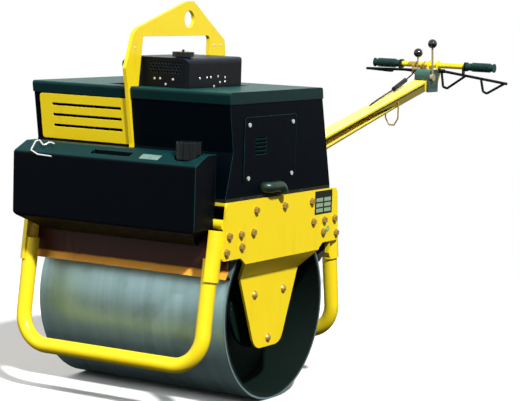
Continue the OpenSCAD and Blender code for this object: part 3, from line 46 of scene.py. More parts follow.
axleUp = 0.290  # height of the drum's axis above the ground
print("frame loaded")

# Camera

camera = {
    "place": (3.4301, -5.0204, 1.3027),
    "azimuth": 32.03,
    "elevation": 6.53,
    "roll": 1.716,
    "focalPixels": 1891.9,
    "framePixels": 520,
    "sensor": 36.0,
    "reach": 60,
}


def addCamera(settings):
    azimuth, elevation, roll = (math.radians(settings[k]) for k in ("azimuth", "elevation", "roll"))
    back = Vector((math.sin(azimuth) * math.cos(elevation),
                   -math.cos(azimuth) * math.cos(elevation),
                   math.sin(elevation)))
    level = Vector((math.cos(azimuth), math.sin(azimuth), 0))
    upright = back.cross(level)
    right = level * math.cos(roll) + upright * math.sin(roll)
    up = upright * math.cos(roll) - level * math.sin(roll)
    turn = Matrix((right, up, back)).transposed().to_4x4()
    data = bpy.data.cameras.new("camera")
    data.sensor_width = settings["sensor"]
    data.lens = settings["focalPixels"] * settings["sensor"] / settings["framePixels"]
    data.clip_end = settings["reach"]
    lens = bpy.data.objects.new("camera", data)
    lens.matrix_world = Matrix.Translation(settings["place"]) @ turn
    bpy.context.scene.collection.objects.link(lens)
    bpy.context.scene.camera = lens


addCamera(camera)

# Node trees: Work makes every node, and Flow is a socket that does arithmetic


class Work:
    def __init__(self, tree):
        self.tree = tree

    def make(self, kind, settings, values, output=0):
        node = self.tree.nodes.new(kind)
        for key, value in settings.items():
            setattr(node, key, value)
        for key, value in values.items():
            self.feed(node.inputs[key], value)
        return Flow(self, node.outputs[output]) if len(node.outputs) else None

    def feed(self, socket, value):
        if isinstance(value, Flow):
            self.tree.links.new(value.socket, socket)
        elif socket.type == "RGBA":
            socket.default_value = (*value, 1)
        else:
            socket.default_value = value

    def maths(self, operation, *values):
        return self.make("ShaderNodeMath", {"operation": operation}, dict(enumerate(values)))

    def ray(self, kind):
        return self.make("ShaderNodeLightPath", {}, {}, kind)


class Flow:
    def __init__(self, work, socket):
        self.work = work
        self.socket = socket

    def __add__(self, other):
        return self.work.maths("ADD", self, other)

    def __sub__(self, other):
        return self.work.maths("SUBTRACT", self, other)

    def __mul__(self, other):
        return self.work.maths("MULTIPLY", self, other)

    def __truediv__(self, other):
        return self.work.maths("DIVIDE", self, other)

    def __rsub__(self, other):
        return self.work.maths("SUBTRACT", other, self)

    def __rtruediv__(self, other):
        return self.work.maths("DIVIDE", other, self)

    def __abs__(self):
        return self.work.maths("ABSOLUTE", self)

    __radd__ = __add__
    __rmul__ = __mul__

    def step(self, low, high):
        return self.work.make("ShaderNodeMapRange", {"interpolation_type": "SMOOTHSTEP"},
                              {"Value": self, "From Min": low, "From Max": high})

    def within(self, low, high, soft=0.4 * mm):
        return self.step(low - soft, low + soft) * (1 - self.step(high - soft, high + soft))


class Finish(Work):
    def __init__(self, name, gloss=0.5):
        self.material = bpy.data.materials.new(name)
        self.material.use_nodes = True
        super().__init__(self.material.node_tree)
        self.shader = self.tree.nodes["Principled BSDF"]
        self.place = self.make("ShaderNodeTexCoord", {}, {}, "Object")
        self.put("Specular IOR Level", gloss)

    def put(self, name, value):
        self.feed(self.shader.inputs[name], value)

    def mix(self, mask, first, second):
        return self.make("ShaderNodeMix", {"data_type": "RGBA"}, {0: mask, 6: first, 7: second}, 2)

    def noise(self, size, detail=3.0, stretch=(1, 1, 1), rough=0.5):
        scaled = self.make("ShaderNodeMapping", {}, {"Vector": self.place, "Scale": stretch})
        return self.make("ShaderNodeTexNoise", {},
                         {"Vector": scaled, "Scale": 1 / size, "Detail": detail, "Roughness": rough})

    def axis(self, name):
        return self.make("ShaderNodeSeparateXYZ", {}, {"Vector": self.place}, name)

    def faceNormal(self):
        return self.make("ShaderNodeNewGeometry", {}, {}, "Normal")

    def facing(self, name):
        return self.make("ShaderNodeSeparateXYZ", {}, {"Vector": self.faceNormal()}, name)

    def rounded(self, radius, samples=4):
        return self.make("ShaderNodeBevel", {"samples": samples}, {"Radius": radius})

    def edgeMask(self, rounded):
        return 1 - self.make("ShaderNodeVectorMath", {"operation": "DOT_PRODUCT"},
                             {0: rounded, 1: self.faceNormal()}, "Value")

    def bump(self, height, strength, distance, normal=None):
        values = {"Height": height, "Strength": strength, "Distance": distance}
        if normal:
            values["Normal"] = normal
        self.put("Normal", self.make("ShaderNodeBump", {}, values))

    def skin(self, look, normal=None):
        self.bump(self.noise(**look["skin"]), *look["bump"], normal)

    def dullness(self, look, rough):
        self.put("Roughness", self.noise(**look["mottle"]) * look["mottleShare"] + rough)


# Enamel: clouded colour, streaks of grime, chipped edges, fine orange peel; on some paints also a painted
# sky reflection on upward faces, a painted highlight along edges, painted shade in the rod's recess and a
# painted shadow above a height

enamelLook = {
    "edgeRadius": 1.6 * mm,
    "cloud": {"size": 0.16, "detail": 4},
    "cloudRange": (0.35, 0.75),
    "cloudShare": 0.5,
    "skyRange": (0.5, 0.95),
    "skyLeast": 0.75,
    "skyCloud": 0.3,
    "shadowEdgeNoise": {"size": 0.05},
    "shadowEdgeDepth": 6 * mm,
    "webRange": (0.6, 0.8),
    "webSoft": 1 * mm,
    "streak": {"size": 0.03, "detail": 4, "stretch": (1, 1, 0.12)},
    "streakRange": (0.52, 0.80),
    "patch": {"size": 0.09},
    "patchRange": (0.4, 0.7),
    "grimeTone": 0.35,
    "dust": 0.02,
    "dustFull": 8,
    "edgeGain": 6,
    "edgeRange": (0.1, 0.8),
    "edgeShare": 0.7,
    "chipGain": 9,
    "chipRange": (0.25, 0.8),
    "chip": {"size": 6 * mm, "detail": 5, "rough": 0.65},
    "chipFrom": (0.60, -0.14),  # without wear, and the change with full wear
    "chipTo": (0.66, -0.10),
    "mottle": {"size": 0.02},
    "mottleRange": (0.2, 0.9),
    "mottleShare": 0.12,
    "chipRough": 0.3,
    "coatRough": 0.08,
    "peel": {"size": 2.2 * mm, "detail": 2},
    "peelShare": 0.5,
    "chipDepth": 0.8,
    "bump": (0.18, 0.25 * mm),
}


def enamel(name, colour, shade, rough=0.28, wear=0.5, grime=0.4, coat=0.4, metal=(0.16, 0.13, 0.10),
           gloss=0.4, paintedEdgeHighlight=None, paintedSheen=None, low=None, paintedWebShade=None):
    look = enamelLook
    f = Finish(name, gloss)
    rounded = f.rounded(look["edgeRadius"])
    edge = f.edgeMask(rounded)
    cloud = f.noise(**look["cloud"])
    tone = f.mix(cloud.step(*look["cloudRange"]) * look["cloudShare"], colour, shade)
    if paintedSheen:  # painted sky reflection: upward faces get a paler tone
        skyReflectionMask = f.facing("Z").step(*look["skyRange"])
        tone = f.mix(skyReflectionMask * (look["skyLeast"] + cloud * look["skyCloud"]), tone, paintedSheen)
    if low:  # painted shadow: a dark tone above a height, standing for the tank's shadow on the front cross panel
        height = f.axis("Z") + f.noise(**look["shadowEdgeNoise"]) * look["shadowEdgeDepth"]
        tone = f.mix(height.step(low["from"], low["to"]), tone, low["tone"])
    if paintedWebShade:  # painted shade: side faces near the rod's middle plane, in the recess under the top plate, get a dark olive
        sideways = abs(f.facing("X")).step(*look["webRange"])
        recessShadeMask = (1 - abs(f.axis("X")).step(paintedWebShade["x"] - look["webSoft"], paintedWebShade["x"])) * sideways
        tone = f.mix(recessShadeMask, tone, paintedWebShade["tone"])
    streak = f.noise(**look["streak"]).step(*look["streakRange"])
    patch = f.noise(**look["patch"]).step(*look["patchRange"])
    dust = look["dust"] * min(1, look["dustFull"] * sum(colour))
    grimeTone = tuple(look["grimeTone"] * c + dust for c in colour)
    tone = f.mix(streak * grime * patch, tone, grimeTone)
    # painted highlight: a lighter tone along rounded edges
    if paintedEdgeHighlight:
        tone = f.mix((edge * look["edgeGain"]).step(*look["edgeRange"]) * look["edgeShare"], tone, paintedEdgeHighlight)
    limits = (start + slope * wear for start, slope in (look["chipFrom"], look["chipTo"]))
    chipped = (edge * look["chipGain"]).step(*look["chipRange"]) * f.noise(**look["chip"]).step(*limits)
    f.put("Base Color", f.mix(chipped, tone, metal))
    mottle = f.noise(**look["mottle"]).step(*look["mottleRange"])
    f.put("Roughness", mottle * look["mottleShare"] + rough + chipped * look["chipRough"])
    f.put("Coat Weight", (1 - chipped) * coat)
    f.put("Coat Roughness", look["coatRough"])
    peel = f.noise(**look["peel"])
    f.bump(peel * look["peelShare"] - chipped * look["chipDepth"], *look["bump"], rounded)
    return f.material


enamels = {
    "yellow_paint": {"colour": (0.99, 0.75, 0.014), "shade": (0.96, 0.69, 0.010), "coat": 0.15,
                     "grime": 0.22, "gloss": 0.3},
    # the paler top is a painted highlight, the olive a painted shade in the recess
    "rod_paint": {"colour": (0.94, 0.74, 0.012), "shade": (0.90, 0.66, 0.008), "coat": 0.1, "grime": 0.15,
                  "wear": -0.6, "gloss": 0.3, "paintedSheen": (0.98, 0.84, 0.16),
                  "paintedWebShade": {"x": 28 * mm, "tone": (0.20, 0.16, 0.002)}},
    # dark red-brown above a height is a painted shadow of the tank
    "shaded_paint": {"colour": (0.98, 0.46, 0.045), "shade": (0.90, 0.36, 0.020), "rough": 0.4,
                     "grime": 0.3, "coat": 0.1,
                     "low": {"from": 0.438, "to": 0.446, "tone": (0.040, 0.007, 0.002)}},
    # teal lines along the edges are a painted highlight
    "hood_paint": {"colour": (0.0003, 0.0016, 0.0035), "shade": (0.0003, 0.0024, 0.0035), "rough": 0.42,
                   "grime": 0.05, "coat": 0.0, "metal": (0.04, 0.05, 0.05), "gloss": 0.04,
                   "paintedEdgeHighlight": (0.03, 0.20, 0.18)},
    # teal edge lines are a painted highlight, the paler top a painted sky reflection
    "lid_paint": {"colour": (0.002, 0.020, 0.020), "shade": (0.001, 0.014, 0.015), "rough": 0.40,
                  "grime": 0.10, "coat": 0.05, "metal": (0.06, 0.09, 0.09), "gloss": 0.12,
                  "paintedEdgeHighlight": (0.01, 0.12, 0.11), "paintedSheen": (0.001, 0.052, 0.044)},
    "drum_paint": {"colour": (0.002, 0.010, 0.007), "shade": (0.003, 0.012, 0.009), "rough": 0.55,
                   "grime": 0.6, "coat": 0.0, "gloss": 0.12},
    # the paler top is a painted sky reflection
    "console_paint": {"colour": (0.035, 0.085, 0.065), "shade": (0.02, 0.055, 0.045), "rough": 0.35,
                      "coat": 0.1, "paintedSheen": (0.02, 0.13, 0.115)},
    "bail_paint": {"colour": (0.001, 0.006, 0.005), "shade": (0.001, 0.004, 0.004), "rough": 0.34,
                   "grime": 0.1, "wear": 0.2, "gloss": 0.2, "coat": 0.05},
}

# Moulded plastic: fine grain, rubbed patches with scratches, paler worn edges; on some, a painted highlight
# along edges and a painted sky reflection on upward faces

mouldingLook = {
    "edgeRadius": 2.4 * mm,
    "rub": {"size": 0.05, "detail": 5, "stretch": (0.4, 1, 1), "rough": 0.7},
    "rubRange": (0.55, 0.8),
    "rubShare": 0.35,
    "scratch": {"size": 4 * mm, "stretch": (0.08, 1, 1)},
    "scratchRange": (0.62, 0.72),
    "wornGain": 8,
    "wornRange": (0.2, 0.9),
    "wornShare": 0.2,
    "skyRange": (0.3, 0.9),
    "skyLeast": 0.7,
    "skyCloud": 0.4,
    "cloud": {"size": 0.12},
    "edgeGain": 6,
    "edgeRange": (0.1, 0.8),
    "edgeShare": 0.8,
    "mottle": {"size": 0.03},
    "mottleRange": (0.2, 0.9),
    "mottleShare": 0.14,
    "polish": 0.1,
    "grain": {"size": 0.9 * mm, "detail": 2},
    "bump": 0.2 * mm,
}


def moulding(name, colour, rough=0.42, scuff=(0.10, 0.11, 0.11), depth=0.3, gloss=0.15, paintedSheen=None,
             paintedEdgeHighlight=None):
    look = mouldingLook
    f = Finish(name, gloss)
    rounded = f.rounded(look["edgeRadius"])
    edge = f.edgeMask(rounded)
    rub = f.noise(**look["rub"]).step(*look["rubRange"])
    scratch = f.noise(**look["scratch"]).step(*look["scratchRange"])
    worn = (edge * look["wornGain"]).step(*look["wornRange"])
    marks = rub * look["rubShare"] * scratch + worn * look["wornShare"]
    tone = colour
    # painted sky reflection: upward faces get a paler tone
    if paintedSheen:
        skyReflectionMask = f.facing("Z").step(*look["skyRange"])
        tone = f.mix(skyReflectionMask * (look["skyLeast"] + f.noise(**look["cloud"]) * look["skyCloud"]), colour, paintedSheen)
    # painted highlight: a lighter tone along rounded edges
    if paintedEdgeHighlight:
        tone = f.mix((edge * look["edgeGain"]).step(*look["edgeRange"]) * look["edgeShare"], tone, paintedEdgeHighlight)
    f.put("Base Color", f.mix(marks, tone, scuff))
    mottle = f.noise(**look["mottle"]).step(*look["mottleRange"])
    f.put("Roughness", mottle * look["mottleShare"] + rough - marks * look["polish"])
    f.bump(f.noise(**look["grain"]), depth, look["bump"], rounded)
    return f.material


mouldings = {
    # the paler top is a painted sky reflection, the teal edge lines a painted highlight
    "tank_plastic": {"colour": (0.0008, 0.0016, 0.0032), "scuff": (0.012, 0.024, 0.024), "rough": 0.36,
                     "gloss": 0.06, "paintedSheen": (0.002, 0.030, 0.032), "paintedEdgeHighlight": (0.03, 0.18, 0.17)},
    "cap_plastic": {"colour": (0.002, 0.004, 0.005), "rough": 0.24, "depth": 0.15, "gloss": 0.4},
    # the bluish top is a painted sky reflection, the lighter edges a painted highlight
    "cowl_plastic": {"colour": (0.0012, 0.0022, 0.004), "rough": 0.34, "paintedSheen": (0.004, 0.016, 0.030),
                     "paintedEdgeHighlight": (0.01, 0.03, 0.04)},
}

# Bare and plated metal: fine lines and a tarnish in patches

metalLook = {
    "edgeRadius": 0.6 * mm,
    "lineSize": 2 * mm,
    "lineRough": 0.2,
    "stain": {"size": 0.04, "detail": 5, "rough": 0.65},
    "stainRange": (0.5, 0.8),
    "stainDull": 0.6,
    "stainRough": 0.3,
    "bump": (0.15, 0.1 * mm),
}


def bareMetal(name, colour, rough=0.3, grain=(1, 1, 1), tarnish=(0.2, 0.17, 0.13), amount=0.35,
              metallic=1.0):
    look = metalLook
    f = Finish(name)
    lines = f.noise(look["lineSize"], stretch=grain)
    stain = f.noise(**look["stain"]).step(*look["stainRange"]) * amount
    f.put("Base Color", f.mix(stain, colour, tarnish))
    f.put("Metallic", metallic - stain * look["stainDull"] * metallic)
    f.put("Roughness", lines * look["lineRough"] + rough + stain * look["stainRough"])
    f.bump(lines, *look["bump"], f.rounded(look["edgeRadius"]))
    return f.material


metals = {
    "machined_steel": {"colour": (0.45, 0.46, 0.47), "grain": (0.05, 1, 1)},
    "zinc_steel": {"colour": (0.46, 0.32, 0.08), "rough": 0.36, "metallic": 0.6},
    "bright_steel": {"colour": (0.78, 0.80, 0.76), "rough": 0.18, "amount": 0.12, "metallic": 0.4},
    "exhaust_metal": {"colour": (0.022, 0.05, 0.038), "rough": 0.22, "amount": 0.6,
                      "tarnish": (0.03, 0.02, 0.012), "metallic": 0.6},
}

# Castings and rubber: a dull skin with dust in patches

castingLook = {
    "gloss": 0.3,
    "edgeRadius": 1.5 * mm,
    "rust": (0.16, 0.08, 0.04),
    "dust": {"size": 0.04, "detail": 5, "rough": 0.7},
    "dustRange": (0.5, 0.75),
    "dustShare": 0.4,
    "rough": 0.55,
    "mottle": {"size": 0.01},
    "mottleShare": 0.2,
    "skin": {"size": 1.6 * mm, "detail": 4, "rough": 0.7},
    "bump": (0.5, 0.5 * mm),
}

rubberLook = {
    "gloss": 0.25,
    "edgeRadius": 0.8 * mm,
    "powder": {"size": 0.03, "detail": 5, "rough": 0.7},
    "powderRange": (0.48, 0.8),
    "powderShare": 0.3,
    "mottle": {"size": 8 * mm},
    "mottleShare": 0.15,
    "skin": {"size": 1 * mm, "detail": 2},
    "bump": (0.3, 0.2 * mm),
}


def casting(name, colour):
    look = castingLook
    f = Finish(name, look["gloss"])
    dust = f.noise(**look["dust"]).step(*look["dustRange"])
    f.put("Base Color", f.mix(dust * look["dustShare"], colour, look["rust"]))
    f.dullness(look, look["rough"])
    f.skin(look, f.rounded(look["edgeRadius"]))
    return f.material


def rubberSkin(name, colour, rough=0.6, dust=(0.18, 0.17, 0.15)):
    look = rubberLook
    f = Finish(name, look["gloss"])
    powder = f.noise(**look["powder"]).step(*look["powderRange"]) * look["powderShare"]
    f.put("Base Color", f.mix(powder, colour, dust))
    f.dullness(look, rough)
    f.skin(look, f.rounded(look["edgeRadius"]))
    return f.material


castings = {"cast_metal": {"colour": (0.010, 0.012, 0.012)}}

rubbers = {
    "mount_rubber": {"colour": (0.008, 0.009, 0.009)},
    "seal_rubber": {"colour": (0.004, 0.004, 0.005), "rough": 0.7},
    "grip_rubber": {"colour": (0.008, 0.040, 0.034), "rough": 0.5, "dust": (0.05, 0.12, 0.11)},
    "cable_sheath": {"colour": (0.006, 0.007, 0.007), "rough": 0.4},
    "scraper_rubber": {"colour": (0.02, 0.015, 0.012)},
}

# The drum: steel scored round its axis, blotched and pitted, with painted shade in its hollow

rolled = {
    "gloss": 0.4,
    "light": (0.44, 0.64, 0.66),
    "deep": (0.36, 0.55, 0.56),
    "stain": (0.10, 0.14, 0.13),
    # near black, a painted shade for the drum's hollow
    "inside": (0.002, 0.008, 0.006),
    "insideRange": (283.5 * mm, 284.5 * mm),
    "stretchAround": 0.010,
    "score": {"Scale": 420.0, "Detail": 4.0},
    "broad": {"Scale": 30.0, "Detail": 3.0},
    "broadRange": (0.3, 0.75),
    "blot": {"size": 0.09, "detail": 5, "rough": 0.6},
    "blotRange": (0.5, 0.8),
    "blotShare": 0.35,
    "pit": {"size": 5 * mm, "detail": 4, "rough": 0.7},
    "pitRange": (0.66, 0.76),
    "pitShare": 0.5,
    "rimRange": (0.345, 0.356),
    "rimShare": 0.25,
    "metallic": 0.85,
    "pitDull": 0.4,
    "rough": 0.38,
    "scoreRough": 0.10,
    "blotRough": 0.08,
    "scoreDepth": 0.6,
    "broadDepth": 0.4,
    "bump": (0.2, 0.25 * mm),
}


def rolledDrum(name, look):
    f = Finish(name, look["gloss"])
    x, y, z = f.axis("X"), f.axis("Y"), f.axis("Z") - axleUp
    angle = f.maths("ARCTAN2", y, z)
    around = f.make("ShaderNodeCombineXYZ", {}, {"X": x, "Y": angle * look["stretchAround"]})
    score = f.make("ShaderNodeTexNoise", {}, {"Vector": around, **look["score"]})
    broad = f.make("ShaderNodeTexNoise", {}, {"Vector": around, **look["broad"]})
    blot = f.noise(**look["blot"])
    pit = f.noise(**look["pit"]).step(*look["pitRange"])
    steel = f.mix(broad.step(*look["broadRange"]), look["deep"], look["light"])
    stained = f.mix(blot.step(*look["blotRange"]) * look["blotShare"], steel, look["stain"])
    rim = abs(x).step(*look["rimRange"])
    pitted = f.mix(pit * look["pitShare"] + rim * look["rimShare"], stained, look["stain"])
    # painted shade: within the inner radius the shell is near black and not metallic
    outside = (y * y + z * z).step(*(radius ** 2 for radius in look["insideRange"]))
    f.put("Base Color", f.mix(outside, look["inside"], pitted))
    f.put("Metallic", (look["metallic"] - pit * look["pitDull"]) * outside)
    f.put("Roughness", score * look["scoreRough"] + look["rough"] + blot * look["blotRough"])
    f.bump(score * look["scoreDepth"] + broad * look["broadDepth"] - pit, *look["bump"])
    return f.material


drums = {"drum_steel": {"look": rolled}}

recipes = ((enamel, enamels), (moulding, mouldings), (bareMetal, metals), (casting, castings),
           (rubberSkin, rubbers), (rolledDrum, drums))
finishes = {name: recipe(name, **settings) for recipe, table in recipes for name, settings in table.items()}

# A lever's ball is told from its stem by the distance from the ball's centre

levers = {
    "travel_lever": {"radius": 18 * mm, "atCorner": True},
    "throttle_lever": {"radius": 18 * mm, "atCorner": False},
}
leverLook = {
    "seam": (1.03, 1.06),
    "ball": (0.001, 0.005, 0.004),
    "stem": (0.46, 0.40, 0.24),
    "stemMetallic": 0.5,
    "ballRough": 0.08,
    "stemRough": 0.22,
    "mottle": {"size": 0.01},
    "mottleShare": 0.1,
    "coat": 0.5,
    "skin": {"size": 4 * mm, "detail": 2},
    "bump": (0.05, 0.1 * mm),
}


def leverFinish(name, ballPlace, ballRadius):
    look = leverLook
    f = Finish(name)
    away = f.make("ShaderNodeVectorMath", {"operation": "DISTANCE"}, {0: f.place, 1: ballPlace}, "Value")
    stem = away.step(*(ballRadius * share for share in look["seam"]))
    f.put("Base Color", f.mix(stem, look["ball"], look["stem"]))
    f.put("Metallic", stem * look["stemMetallic"])
    mottle = f.noise(**look["mottle"]) * look["mottleShare"]
    f.put("Roughness", mottle + look["ballRough"] + stem * look["stemRough"])
    f.put("Coat Weight", (1 - stem) * look["coat"])
    f.skin(look)
    return f.material


def ballCentre(name, settings):
    low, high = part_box(name)
    r = settings["radius"]
    if settings["atCorner"]:
        return high.x - r, low.y + r, high.z - r
    return (low.x + high.x) / 2, (low.y + high.y) / 2, high.z - r


repainted = {
    "steering_rod": "rod_paint",
    "engine_deck": "yellow_paint",
    "rear_cross_panel": "yellow_paint",
}


def dressFrame():
    slots = {row["node"]: row["material_slot"] for row in frame["record"]["subparts"]}
    for name, thing in nodes.items():
        if name in levers:
            lever = levers[name]
            paint = leverFinish(name + "_finish", ballCentre(name, lever), lever["radius"])
        else:
            paint = finishes[repainted.get(name, slots[name])]
        for place in thing.material_slots:
            place.material = paint
        if not thing.material_slots:
            thing.data.materials.append(paint)


dressFrame()
print("frame dressed")

# Growing: a seed mesh of points or lines, and a Geometry Nodes tree that puts a shape on each


class Grower(Work):
    def __init__(self, name, sizes):
        super().__init__(bpy.data.node_groups.new(name, "GeometryNodeTree"))
        face = self.tree.interface
        face.new_socket("Geometry", in_out="INPUT", socket_type="NodeSocketGeometry")
        for label in sizes:
            face.new_socket(label, in_out="INPUT", socket_type="NodeSocketFloat")
        face.new_socket("Geometry", in_out="OUTPUT", socket_type="NodeSocketGeometry")

    def given(self, label):
        return self.make("NodeGroupInput", {}, {}, label)

    def onPoints(self, shape, paint):
        facing = self.make("GeometryNodeInputNamedAttribute", {"data_type": "FLOAT_VECTOR"},
                           {"Name": "facing"})
        turn = self.make("FunctionNodeAlignRotationToVector", {"axis": "Z"}, {"Vector": facing})
        self.end(self.make("GeometryNodeInstanceOnPoints", {},
                           {"Points": self.given("Geometry"), "Instance": shape, "Rotation": turn}), paint)

    def end(self, shape, paint):
        real = self.make("GeometryNodeRealizeInstances", {}, {"Geometry": shape})
        painted = self.make("GeometryNodeSetMaterial", {}, {"Geometry": real, "Material": paint})
        self.make("NodeGroupOutput", {}, {"Geometry": painted})


def addPiece(name, mesh, body):
    thing = bpy.data.objects.new(name, mesh)
    bpy.context.scene.collection.objects.link(thing)
    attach(thing, body)


def grow(name, seed, grower, sizes, body):
    carrier = bpy.data.objects.new(name + "_seed", seed)
    bpy.context.scene.collection.objects.link(carrier)
    modifier = carrier.modifiers.new("grow", "NODES")
    modifier.node_group = grower.tree
    for item in grower.tree.interface.items_tree:
        if item.in_out == "INPUT" and item.name in sizes:
            modifier[item.identifier] = sizes[item.name]
    seen = carrier.evaluated_get(bpy.context.evaluated_depsgraph_get())
    mesh = bpy.data.meshes.new_from_object(seen)
    bpy.data.objects.remove(carrier)
    addPiece(name, mesh, body)


def pointSeed(name, spots):
    mesh = bpy.data.meshes.new(name)
    mesh.from_pydata([spot for spot, facing in spots], [], [])
    layer = mesh.attributes.new("facing", "FLOAT_VECTOR", "POINT")
    for index, (spot, facing) in enumerate(spots):
        layer.data[index].vector = facing
    return mesh


def surfaceOf(name):
    under = nodes[name].data
    return BVHTree.FromPolygons([v.co for v in under.vertices], [p.vertices for p in under.polygons])


# Small domed screw heads on a thin washer; the washer in head radii, the places in mm

cowlScrews = {
    "sizes": {"Radius": 2.6 * mm, "Dome": 0.45},
    "headSides": 12,
    "headRings": 6,
    "washerSides": 16,
    "washerTop": 1.35,
    "washerFoot": 1.5,
    "washerHigh": 0.2,
    "sideX": 170.0,
    "side": ((-179, 1008), (-140, 1010), (-118, 1010), (-78, 1012), (-38, 1008), (-99, 981), (-66, 993),
             (-37, 995)),
    "frontY": -250.0,
    "front": ((49, 1004), (70, 1005), (91, 988), (118, 1004)),
    "bracketX": 6.0,
    "bracket": ((143, 1100), (180, 1100), (-296, 1097)),
}


def screwTree(screws, paint):
    g = Grower("screw_tree", screws["sizes"])
    radius = g.given("Radius")
    ball = g.make("GeometryNodeMeshUVSphere", {},
                  {"Segments": screws["headSides"], "Rings": screws["headRings"], "Radius": radius})
    squat = g.make("ShaderNodeCombineXYZ", {}, {"X": 1.0, "Y": 1.0, "Z": g.given("Dome")})
    dome = g.make("GeometryNodeTransform", {}, {"Geometry": ball, "Scale": squat})
    washer = g.make("GeometryNodeMeshCone", {},
                    {"Vertices": screws["washerSides"], "Radius Top": radius * screws["washerTop"],
                     "Radius Bottom": radius * screws["washerFoot"], "Depth": radius * screws["washerHigh"]})
    both = g.make("GeometryNodeJoinGeometry", {}, {"Geometry": washer})
    g.feed(both.socket.node.inputs["Geometry"], dome)
    g.onPoints(both, paint)
    return g


def addScrews(screws):
    spots = [((screws["sideX"] * mm, y * mm, z * mm), (1, 0, 0)) for y, z in screws["side"]]
    spots += [((x * mm, screws["frontY"] * mm, z * mm), (0, -1, 0)) for x, z in screws["front"]]
    spots += [((screws["bracketX"] * mm, y * mm, z * mm), (1, 0, 0)) for y, z in screws["bracket"]]
    seed = pointSeed("cowl_screws_seed", spots)
    tree = screwTree(screws, finishes["bright_steel"])
    grow("cowl_screws", seed, tree, screws["sizes"], "frame")


addScrews(cowlScrews)

# Ribs round the two grips, on rings a little wider than the rubber under them; the row in mm

gripRibs = {
    "sizes": {"Ring": 17.2 * mm, "Thick": 1.1 * mm},
    "ringSides": 28,
    "sectionSides": 6,
    "from": 172,
    "to": 250,
    "pitch": 5.0,
}


def ribTree(ribs, paint):
    g = Grower("rib_tree", ribs["sizes"])
    ring = g.make("GeometryNodeCurvePrimitiveCircle", {},
                  {"Resolution": ribs["ringSides"], "Radius": g.given("Ring")})
    section = g.make("GeometryNodeCurvePrimitiveCircle", {},
                     {"Resolution": ribs["sectionSides"], "Radius": g.given("Thick")})
    rib = g.make("GeometryNodeCurveToMesh", {}, {"Curve": ring, "Profile Curve": section})
    g.onPoints(rib, paint)
    return g


def addRibs(ribs):
    low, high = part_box("handle_grips")
    y, z = (low.y + high.y) / 2, (low.z + high.z) / 2
    count = int((ribs["to"] - ribs["from"]) / ribs["pitch"]) + 1
    spots = [((side * (ribs["from"] + ribs["pitch"] * i) * mm, y, z), (1, 0, 0))
             for side in (1, -1) for i in range(count)]
    seed = pointSeed("grip_ribs_seed", spots)
    tree = ribTree(ribs, finishes["grip_rubber"])
    grow("grip_ribs", seed, tree, ribs["sizes"], "rod")


addRibs(gripRibs)

# Weld beads: small drops along the sharp edges of one node that lie on another's surface

weldBeads = {
    "sizes": {"Spacing": 3.2 * mm, "Radius": 2.3 * mm},
    "rounding": 2,
    "least": 0.85,
    "most": 1.15,
    "seed": 7,
    "same": 0.01 * mm,
    "reach": 0.4 * mm,
    "bend": 0.6,
    "seams": (
        ("bumper_sleeves", "side_plate_left"),
        ("bumper_sleeves", "side_plate_right"),
        ("tank_support_bar", "side_plate_left"),
        ("tank_support_bar", "side_plate_right"),
        ("rod_bracket", "rear_cross_panel"),
    ),
}


def seamSeed(name, beads):
    corners, lines = [], []
    for carried, carrier in beads["seams"]:
        surface = surfaceOf(carrier)
        shape = bmesh.new()
        shape.from_mesh(nodes[carried].data)
        bmesh.ops.remove_doubles(shape, verts=shape.verts, dist=beads["same"])
        touching = [v for v in shape.verts if surface.find_nearest(v.co, beads["reach"])[0] is not None]
        place = {v: len(corners) + i for i, v in enumerate(touching)}
        corners += [v.co.copy() for v in touching]
        lines += [tuple(place[v] for v in edge.verts) for edge in shape.edges
                  if all(v in place for v in edge.verts) and edge.calc_face_angle(0) > beads["bend"]]
        shape.free()
    mesh = bpy.data.meshes.new(name)
    mesh.from_pydata(corners, lines, [])
    return mesh


def beadTree(beads, paint):
    g = Grower("bead_tree", beads["sizes"])
    line = g.make("GeometryNodeMeshToCurve", {}, {"Mesh": g.given("Geometry")})
    dots = g.make("GeometryNodeCurveToPoints", {"mode": "LENGTH"},
                  {"Curve": line, "Length": g.given("Spacing")})
    drop = g.make("GeometryNodeMeshIcoSphere", {},
                  {"Radius": g.given("Radius"), "Subdivisions": beads["rounding"]})
    size = g.make("FunctionNodeRandomValue", {"data_type": "FLOAT"},
                  {2: beads["least"], 3: beads["most"], "Seed": beads["seed"]}, 1)
    drops = g.make("GeometryNodeInstanceOnPoints", {}, {"Points": dots, "Instance": drop, "Scale": size})
    g.end(drops, paint)
    return g


def addBeads(beads):
    seed = seamSeed("weld_beads_seed", beads)
    print("weld lines:", len(seed.edges))
    tree = beadTree(beads, finishes["yellow_paint"])
    grow("weld_beads", seed, tree, beads["sizes"], "frame")


addBeads(weldBeads)

# Blank plates: a rounded sheet with a chamfered rim, laid on the node's nearest face; sizes in mm

plateShape = {
    "arcSteps": 7,
    "leastCorner": 0.1,
    "sunk": 0.05,
    "chamfer": 0.4,
    "chamferFrom": 0.6,
}
plates = {
    "side_label": {"on": "side_plate_left", "origin": (380, 242.5, 608), "across": (0, 1, 0),
                   "width": 109, "height": 76, "corner": 3, "thick": 0.6},
    "round_sticker": {"on": "side_plate_left", "origin": (380, 275, 518), "across": (0, 1, 0),
                      "width": 19, "height": 19, "corner": 9.49, "thick": 0.5},
    "tank_label": {"on": "water_tank", "origin": (158, -416, 778), "across": (1, 0, 0),
                   "width": 70, "height": 28, "corner": 3, "thick": 0.5},
}


